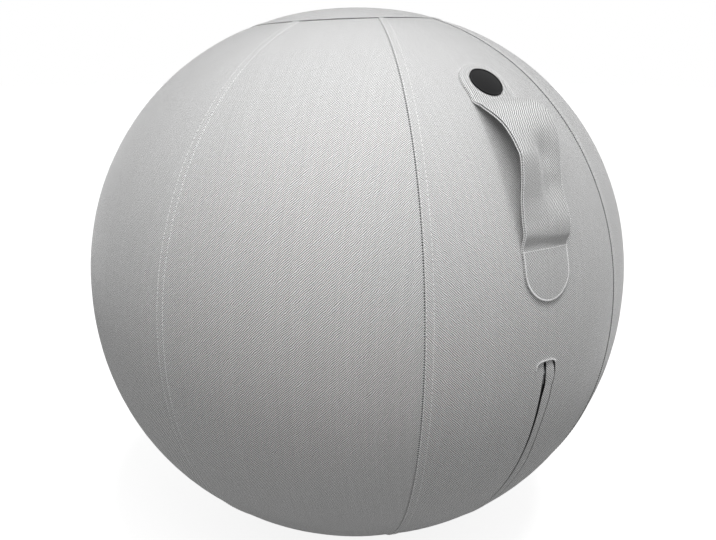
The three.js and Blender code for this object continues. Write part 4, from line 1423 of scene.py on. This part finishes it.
def lip_height(polar, x, inner, outer, side):
    """A lip's face against the cover's: lower under the arch, its slot edge folded in."""
    size = zipper()
    below_arch = (polar - size.top) * cover().ball_radius + size.arch
    drop = size.lip_drop * (1 - smooth(below_arch / LIP_FADE))
    fold = bent_in(LIP_FOLD, x - inner, LIP_FOLD_WIDTH)
    across = (x - inner) / (outer - inner)
    if side < 0:
        return -drop * (1 - smooth((across - LIP_LEVEL) / (1 - LIP_LEVEL))) - fold
    crown = LIP_CROWN * math.sin(math.pi * across)
    return crown - drop - fold - bent_in(size.crease, outer - x, CREASE_WIDTH)


def lip(side):
    """One folded lip of the slot, filling its side of the window."""
    size = zipper()
    radius = cover().ball_radius
    clear = LIP_CLEAR if side < 0 else size.crease_gap
    height = size.arch - size.arch_gap
    polars = [size.top - share_up * height / radius for share_up in LIP_ARCH]
    polars += spread(size.top, size.end, LIP_ROWS)
    polars += [size.end + share_up * height / radius for share_up in reversed(LIP_ARCH)]
    columns = []
    for polar in polars:
        past = max(size.top - polar, polar - size.end, 0) * radius
        outer = (size.half_width - clear) * arch_share(past / height)
        inner = slot_edge(polar, side)
        scale = min(1, (outer - inner) / LIP_FULL)
        near = [inner + step * scale for step in LIP_STEPS]
        far = [outer - step * scale for step in CREASE_STEPS]
        columns.append(near + spread(near[-1], far[0], LIP_COLUMNS)[1:-1] + far)
    xs = columns if side > 0 else [[-x for x in reversed(row)] for row in columns]
    lengths = arc_lengths(polars)

    def place(row, column):
        x = xs[row][column]
        rise = lip_height(polars[row], abs(x), columns[row][0], columns[row][-1], side)
        return on_gore(polars[row], creased(polars[row], x), rise)

    # Painted shade at the right lip's outer edge by the crease, and under the arch
    def fold(row, column):
        reach = abs(xs[row][column])
        up = (size.top - polars[row]) * radius
        dark = painted_shade_at(columns[row][-1] - reach, WINDOW_SHADE_WIDTH) if side > 0 else 0
        if up > 0:
            arch = height * arch_share(reach / (size.half_width - clear))
            dark = max(dark, painted_shade_at(arch - up, ARCH_SHADE_WIDTH))
        return dark

    name = "left_lip_cloth" if side < 0 else "right_lip_cloth"
    return shell(laid_cloth(name, xs, lambda row, column: lengths[row], place, fold))


def arch_tack():
    """Close stitches over the ridge round the window's top."""
    size = zipper()
    radius = cover().ball_radius
    places = []
    for turn in spread(0, math.pi, 160):
        across = abs(math.cos(turn)) ** (2 / size.arch_power) * math.copysign(1, math.cos(turn))
        polar = size.top - size.arch * arch_share(abs(across)) / radius
        places.append((polar, -across * (size.half_width + TACK_SIDE)))
    places = [place for place in places if place[1] < TACK_RIGHT]
    places = [(size.top + TACK_DOWN / radius, places[0][1] - TACK_OUT)] + places

    def place(polar, x):
        return on_gore(polar, creased(polar, x), size.ridge + TACK_HEIGHT)

    return crosswise("arch_tack", line_over(place, places), *ARCH_TACK, TACK_TILT)


def zip_strip(name, section, rows=60):
    """A strip of cloth along the zip's arc through a section of (x, depth) places, outer face up."""
    size = zipper()
    arc = zip_arc()[1]
    turns = spread(zip_turn(size.top), zip_turn(size.end), rows)
    section = [(x * MM, depth * MM) for x, depth in section]
    dense = section[:1]
    for (x0, d0), (x1, d1) in zip(section, section[1:]):
        dense += list(zip(spread(x0, x1, 4), spread(d0, d1, 4)))[1:]
    piece = laid_cloth(
        name,
        [path_lengths(dense)] * len(turns),
        lambda row, column: turns[row] * arc,
        lambda row, column: zip_point(*dense[column], turns[row]),
    )
    modified(piece, "SOLIDIFY", thickness=TAPE_THICKNESS, offset=-1)
    return smoothed(piece, 50)


def coil(side):
    """A zip's coil: one oval loop of the monofilament, copied along the arc."""
    size = zipper()
    arc = zip_arc()[1]
    start = zip_turn(size.top) + COIL_CLEAR / arc
    end = zip_turn(size.end) - COIL_CLEAR / arc
    pitch = COIL_PITCH / arc
    deselect_all()
    bpy.ops.mesh.primitive_torus_add(
        major_segments=10, minor_segments=4, major_radius=0.5, minor_radius=WIRE_RADIUS
    )
    loop = added("coil_loop")
    full = 1 + 2 * WIRE_RADIUS
    loop.data.transform(Matrix.Diagonal((COIL_WIDTH / full, COIL_HEIGHT / full, COIL_STRETCH, 1)))
    places = []
    right = Vector((1, 0, 0))
    for i in range(int((end - start) / pitch) + 1):
        turn = start + i * pitch
        out = (zip_point(0, 0, turn) - zip_point(0, 1 * MM, turn)).normalized()
        matrix = Matrix((right, out, out.cross(right))).transposed().to_4x4()
        matrix.translation = zip_point(side * COIL_X, COIL_DEPTH, turn)
        places.append(matrix @ Matrix.Rotation(side * COIL_LEAN, 4, "Y"))
    return copies("left_coil_loops" if side < 0 else "right_coil_loops", loop, places)


def block(name, low, high, rounding=0):
    """A block between two corners in millimetres, with rounded edges."""
    deselect_all()
    middle = [(a + b) / 2 * MM for a, b in zip(low, high)]
    extent = [(b - a) * MM for a, b in zip(low, high)]
    bpy.ops.mesh.primitive_cube_add(size=1, location=middle, scale=extent)
    piece = added(name)
    bpy.ops.object.transform_apply(location=True, rotation=True, scale=True)
    if rounding:
        modified(piece, "BEVEL", width=rounding * MM, segments=3, limit_method="NONE")
    return piece


def place_on_slider(piece, depth=0.0):
    """Moves a piece from the slider's own frame, -Y out of the cover and -Z down, to its place."""
    centre, arc = zip_arc()
    turn = zip_turn(zipper().top) + SLIDER_START / arc
    matrix = Matrix.Translation(centre) @ Matrix.Rotation(turn, 4, "X")
    piece.data.transform(matrix @ Matrix.Translation((0, depth - arc, 0)))
    return smoothed(piece, 40)


def slider_piece():
    """The slider: two rounded plates joined by a post and flanges, and the bail that holds the tab."""
    return place_on_slider(joined("slider_body", [block(*part) for part in SLIDER_BLOCKS]))


def puller_piece():
    """The puller: a pin through the bail, two arms and a tab with a pressed hollow."""
    deselect_all()
    bpy.ops.mesh.primitive_cylinder_add(
        vertices=20, radius=PIN_RADIUS, depth=PIN_LENGTH, rotation=(0, math.pi / 2, 0)
    )
    pin = added("pin")
    bpy.ops.object.transform_apply(location=True, rotation=True, scale=True)
    arms = [block(*part) for part in PULLER_ARMS]
    tab = block(*PULLER_TAB)
    with editing(tab, lambda face: face.normal.y < -0.5):
        bpy.ops.mesh.inset(thickness=TAB_RIM)
        bpy.ops.transform.translate(value=(0, TAB_HOLLOW, 0))
    modified(tab, "BEVEL", width=TAB_ROUNDING, segments=2, angle_limit=math.radians(30))
    return place_on_slider(joined("puller_tab", [pin, *arms, tab]), PULLER_DEPTH)


# Air-filled ball


def faded(distance, flat, slope):
    """1 within a flat distance, falling to 0 over a slope."""
    return 1 - smooth((distance - flat) / slope)


def ball_depth(polar, azimuth):
    """How far the inflated ball lies inside the cover: further at its seams and behind the zip."""
    size = cover()
    from_pole = min(polar, math.pi - polar)
    turn = (azimuth / HALF_GORE + 1) % 2 - 1
    gore_share = abs(turn) ** SEAM_POWER if from_pole > cap_angle() else 0
    depth = BALL_GAP + SEAM_GAP * max(cap_share(polar), gore_share)
    across = abs((azimuth + math.pi) % (2 * math.pi) - math.pi) * size.ball_radius * math.sin(polar)
    above = (zipper().top - polar) * size.ball_radius
    below = (polar - zipper().end) * size.ball_radius
    hollow = ZIP_GAP * faded(across, *ZIP_BESIDE) * faded(max(above, below), *ZIP_BEYOND)
    return depth + hollow


def valve_place():
    """Middle of the valve's outer face and the direction out of it."""
    low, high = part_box("valve_plug")
    middle = (Vector(low) + Vector(high)) / 2
    out = (middle - Vector((0, 0, floor_drop()))).normalized()
    return middle, out


def bladder_piece():
    """The inflated ball: a smooth shell, with a round hole for its valve."""
    deselect_all()
    bpy.ops.mesh.primitive_uv_sphere_add(segments=128, ring_count=72, radius=1)
    piece = added("inflated_ball")
    middle, out = valve_place()
    for vertex in piece.data.vertices:
        flat = vertex.co
        polar = math.atan2(math.hypot(flat.x, flat.y), flat.z)
        azimuth = math.atan2(flat.x, -flat.y)
        polar = min(max(polar, BALL_POLE), math.pi - BALL_POLE)
        place = polar_point(cover_radius(polar) - ball_depth(polar, azimuth), polar, azimuth)
        near = place - middle
        if near.length < VALVE_NEAR:
            beside = (near - out * near.dot(out)).length
            place -= out * faded(beside, *VALVE_SEAT) * max(0, near.dot(out) - VALVE_FACE)
        vertex.co = place
    modified(piece, "SOLIDIFY", thickness=BALL_WALL, offset=-1)
    deselect_all()
    bpy.ops.mesh.primitive_cylinder_add(vertices=48, radius=VALVE_HOLE, depth=60 * MM, location=middle)
    cutter = added("valve_hole")
    cutter.rotation_euler = out.to_track_quat("Z", "Y").to_euler()
    bpy.ops.object.transform_apply(location=True, rotation=True, scale=True)
    modified(piece, "BOOLEAN", operation="DIFFERENCE", object=cutter, solver="EXACT")
    bpy.data.objects.remove(cutter)
    return smoothed(piece, 40)


# Operators


class BALLCHAIR_OT_gores(bpy.types.Operator):
    """Cut and lay the eight gores of the cover"""

    bl_idname = "ballchair.gores"
    bl_label = "Gores"

    def execute(self, context):
        for index, name in enumerate(GORE_NAMES):
            piece = plain_gore(index) if index else front_gore()
            cloth = "cover_cloth" if index < GORES / 2 else "mirrored_cloth"
            finished(piece, "cover_fabric", cloth, name)
        return {"FINISHED"}


class BALLCHAIR_OT_caps(bpy.types.Operator):
    """Lay the round caps at the cover's top and bottom"""

    bl_idname = "ballchair.caps"
    bl_label = "Caps"

    def execute(self, context):
        for name, is_top in (("top_cap", True), ("bottom_cap", False)):
            finished(cap(f"{name}_cloth", is_top), "cover_fabric", "cover_cloth", name)
        return {"FINISHED"}


class BALLCHAIR_OT_seam_stitching(bpy.types.Operator):
    """Sew the rows of stitches along the seams"""

    bl_idname = "ballchair.seam_stitching"
    bl_label = "Seam stitching"

    def execute(self, context):
        for index in range(GORES):
            finished(seam_stitching(index), "cover_fabric", "thread")
        for name, is_top in (("top_cap", True), ("bottom_cap", False)):
            finished(cap_stitching(f"{name}_stitches", is_top), "cover_fabric", "thread")
        return {"FINISHED"}


class BALLCHAIR_OT_handle(bpy.types.Operator):
    """Lay the strap and its lining over the loop, and sew them down"""

    bl_idname = "ballchair.handle"
    bl_label = "Handle"

    def execute(self, context):
        for name, ply in (("handle_lining", 1), ("handle_strap", 2)):
            finished(ply_cloth(f"{name}_cloth", ply), "cover_fabric", "strap_cloth", name)
        for side in (-1, 1):
            finished(edge_threads(side), "cover_fabric", "thread")
        finished(strap_stitching(), "cover_fabric", "thread")
        return {"FINISHED"}


class BALLCHAIR_OT_badge(bpy.types.Operator):
    """Put the round badge on the strap's upper end"""

    bl_idname = "ballchair.badge"
    bl_label = "Badge"

    def execute(self, context):
        finished(badge_piece(), "badge_black", "badge", "badge")
        return {"FINISHED"}


class BALLCHAIR_OT_zip(bpy.types.Operator):
    """Make the zip: its lips, tapes, coils, slider and puller"""

    bl_idname = "ballchair.zip"
    bl_label = "Zip"

    def execute(self, context):
        left_tape = [(-x, depth) for x, depth in reversed(TAPE_SECTION)]
        for side, word, section in ((-1, "left", left_tape), (1, "right", TAPE_SECTION)):
            finished(lip(side), "cover_fabric", "cover_cloth", f"zip_lip_{word}")
            tape = zip_strip(f"{word}_tape_cloth", section)
            finished(tape, "tape_fabric", "tape_cloth", f"zip_tape_{word}")
            finished(coil(side), "coil_plastic", "coil", f"zip_coil_{word}")
        guard = zip_strip("guard_cloth", GUARD_SECTION)
        finished(guard, "tape_fabric", "tape_cloth", "zip_guard")
        finished(arch_tack(), "cover_fabric", "thread")
        finished(slider_piece(), "slider_metal", "slider_metal", "zip_slider", body="slider")
        finished(puller_piece(), "slider_metal", "tab_metal", "zip_puller", body="puller")
        return {"FINISHED"}


class BALLCHAIR_OT_inflated_ball(bpy.types.Operator):
    """Make the air-filled ball inside the cover, and finish its valve and the zip's stops"""

    bl_idname = "ballchair.inflated_ball"
    bl_label = "Air-filled ball"

    def execute(self, context):
        finished(bladder_piece(), "bladder_pvc", "ball_vinyl", "bladder")
        finishes = {
            "valve_seat": "valve",
            "valve_plug": "valve",
            "zip_top_stop": "slider_metal",
            "zip_bottom_stop": "slider_metal",
        }
        for name, finish in finishes.items():
            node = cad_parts[name]
            node.data.materials.clear()
            node.data.materials.append(material_of(finish))
        return {"FINISHED"}


class BALLCHAIR_OT_stage(bpy.types.Operator):
    """Set the floor, the light and the camera"""

    bl_idname = "ballchair.stage"
    bl_label = "Stage"

    def execute(self, context):
        size = context.scene.ball_stage
        floor = stage_floor(size)
        floor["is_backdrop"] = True
        stage_world(size)
        lights(size)
        data = bpy.data.cameras.new("camera")
        data.lens = size.lens
        data.shift_x = size.shift_x
        data.shift_y = size.shift_y
        place = (size.azimuth, size.elevation, size.distance)
        context.scene.camera = aimed("camera", data, *place, size.roll)
        context.scene.view_settings.view_transform = "Standard"
        return {"FINISHED"}


# Stage


def show_directly(tree, output, unseen, seen):
    """One shader for light on its way round, the other for rays from the camera, a mirror or glass."""
    path = node_of(tree, "ShaderNodeLightPath").outputs
    direct = maths(tree, "MAXIMUM", path["Is Camera Ray"], path["Is Glossy Ray"])
    direct = maths(tree, "MAXIMUM", direct, path["Is Transmission Ray"])
    inputs = {0: direct, 1: unseen.outputs[0], 2: seen.outputs[0]}
    shown = node_of(tree, "ShaderNodeMixShader", inputs)
    node_of(tree, output, {"Surface": shown.outputs[0]})


def stage_floor(size):
    """A wide floor that is nearly white to the camera and keeps the ball's soft shadow."""
    deselect_all()
    bpy.ops.mesh.primitive_plane_add(size=FLOOR_SIZE)
    floor = added("floor")
    material = bpy.data.materials.new("floor")
    material.use_nodes = True
    tree = material.node_tree
    tree.nodes.clear()
    plain = node_of(tree, "ShaderNodeBsdfDiffuse", {"Color": (size.floor, size.floor, size.floor, 1)})
    glow = node_of(tree, "ShaderNodeEmission", {"Color": (1, 1, 1, 1), "Strength": FLOOR_GLOW})
    lit = node_of(tree, "ShaderNodeAddShader", {0: plain.outputs[0], 1: glow.outputs[0]})
    show_directly(tree, "ShaderNodeOutputMaterial", plain, lit)
    floor.data.materials.append(material)
    return floor


def stage_world(size):
    """White to the camera, and a soft grey light from all round."""
    world = bpy.data.worlds.new("world")
    bpy.context.scene.world = world
    world.use_nodes = True
    tree = world.node_tree
    tree.nodes.clear()
    ambient, white = (
        node_of(tree, "ShaderNodeBackground", {"Color": (1, 1, 1, 1), "Strength": strength})
        for strength in (size.ambient, 1.0)
    )
    show_directly(tree, "ShaderNodeOutputWorld", ambient, white)


def aimed(name, data, azimuth, elevation, distance, roll=0.0):
    """A camera or light round the ball's middle, turned to it."""
    item = bpy.data.objects.new(name, data)
    bpy.context.collection.objects.link(item)
    flat = math.cos(elevation)
    out = Vector((math.sin(azimuth) * flat, -math.cos(azimuth) * flat, math.sin(elevation)))
    item.location = Vector((0, 0, floor_drop())) + out * distance
    turn = (-out).to_track_quat("-Z", "Y").to_matrix() @ Matrix.Rotation(roll, 3, "Z")
    item.rotation_euler = turn.to_euler()
    return item


def lights(size):
    """A light from far above, a little to the front, and a broad round lamp above the camera."""
    key = bpy.data.lights.new("key_light", "SUN")
    key.angle = size.key_angle
    key.energy = size.key_strength
    lamp = bpy.data.lights.new("front_lamp", "AREA")
    lamp.shape = "DISK"
    lamp.size = size.lamp_size
    lamp.energy = size.lamp_power
    for light in (
        aimed("key_light", key, size.key_azimuth, size.key_elevation, KEY_DISTANCE),
        aimed("front_lamp", lamp, size.lamp_azimuth, size.lamp_elevation, size.lamp_distance),
    ):
        light.visible_camera = False


SETTINGS = {
    "ball_cover": CoverSettings,
    "ball_handle": HandleSettings,
    "ball_zip": ZipSettings,
    "ball_stage": StageSettings,
}
OPERATORS = (
    BALLCHAIR_OT_gores,
    BALLCHAIR_OT_caps,
    BALLCHAIR_OT_seam_stitching,
    BALLCHAIR_OT_handle,
    BALLCHAIR_OT_badge,
    BALLCHAIR_OT_zip,
    BALLCHAIR_OT_inflated_ball,
    BALLCHAIR_OT_stage,
)


class BALLCHAIR_PT_sidebar(bpy.types.Panel):
    """The chair's sizes and the steps that make it"""

    bl_idname = "BALLCHAIR_PT_sidebar"
    bl_label = "Ball chair"
    bl_space_type = "VIEW_3D"
    bl_region_type = "UI"
    bl_category = "Ball chair"

    def draw(self, context):
        for key in SETTINGS:
            box = self.layout.box()
            for name in SETTINGS[key].__annotations__:
                box.prop(getattr(context.scene, key), name)
        for operator in OPERATORS:
            self.layout.operator(operator.bl_idname)


def register():
    for key, settings in SETTINGS.items():
        bpy.utils.register_class(settings)
        setattr(bpy.types.Scene, key, PointerProperty(type=settings))
    for operator in OPERATORS:
        bpy.utils.register_class(operator)
    bpy.utils.register_class(BALLCHAIR_PT_sidebar)


def unregister():
    bpy.utils.unregister_class(BALLCHAIR_PT_sidebar)
    for operator in reversed(OPERATORS):
        bpy.utils.unregister_class(operator)
    for key, settings in SETTINGS.items():
        delattr(bpy.types.Scene, key)
        bpy.utils.unregister_class(settings)


def write_sizes():
    """Gathers the CAD box and the dressed model's box; it does not write them."""
    boxes = {"cad": CAD_BOX, "visual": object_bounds()}
    {key: [list(corner) for corner in box] for key, box in boxes.items()}


def main():
    register()
    bpy.ops.ballchair.gores()
    bpy.ops.ballchair.caps()
    bpy.ops.ballchair.seam_stitching()
    bpy.ops.ballchair.handle()
    bpy.ops.ballchair.badge()
    bpy.ops.ballchair.zip()
    bpy.ops.ballchair.inflated_ball()
    bpy.ops.ballchair.stage()
    write_sizes()


if __name__ == "__main__":
    main()
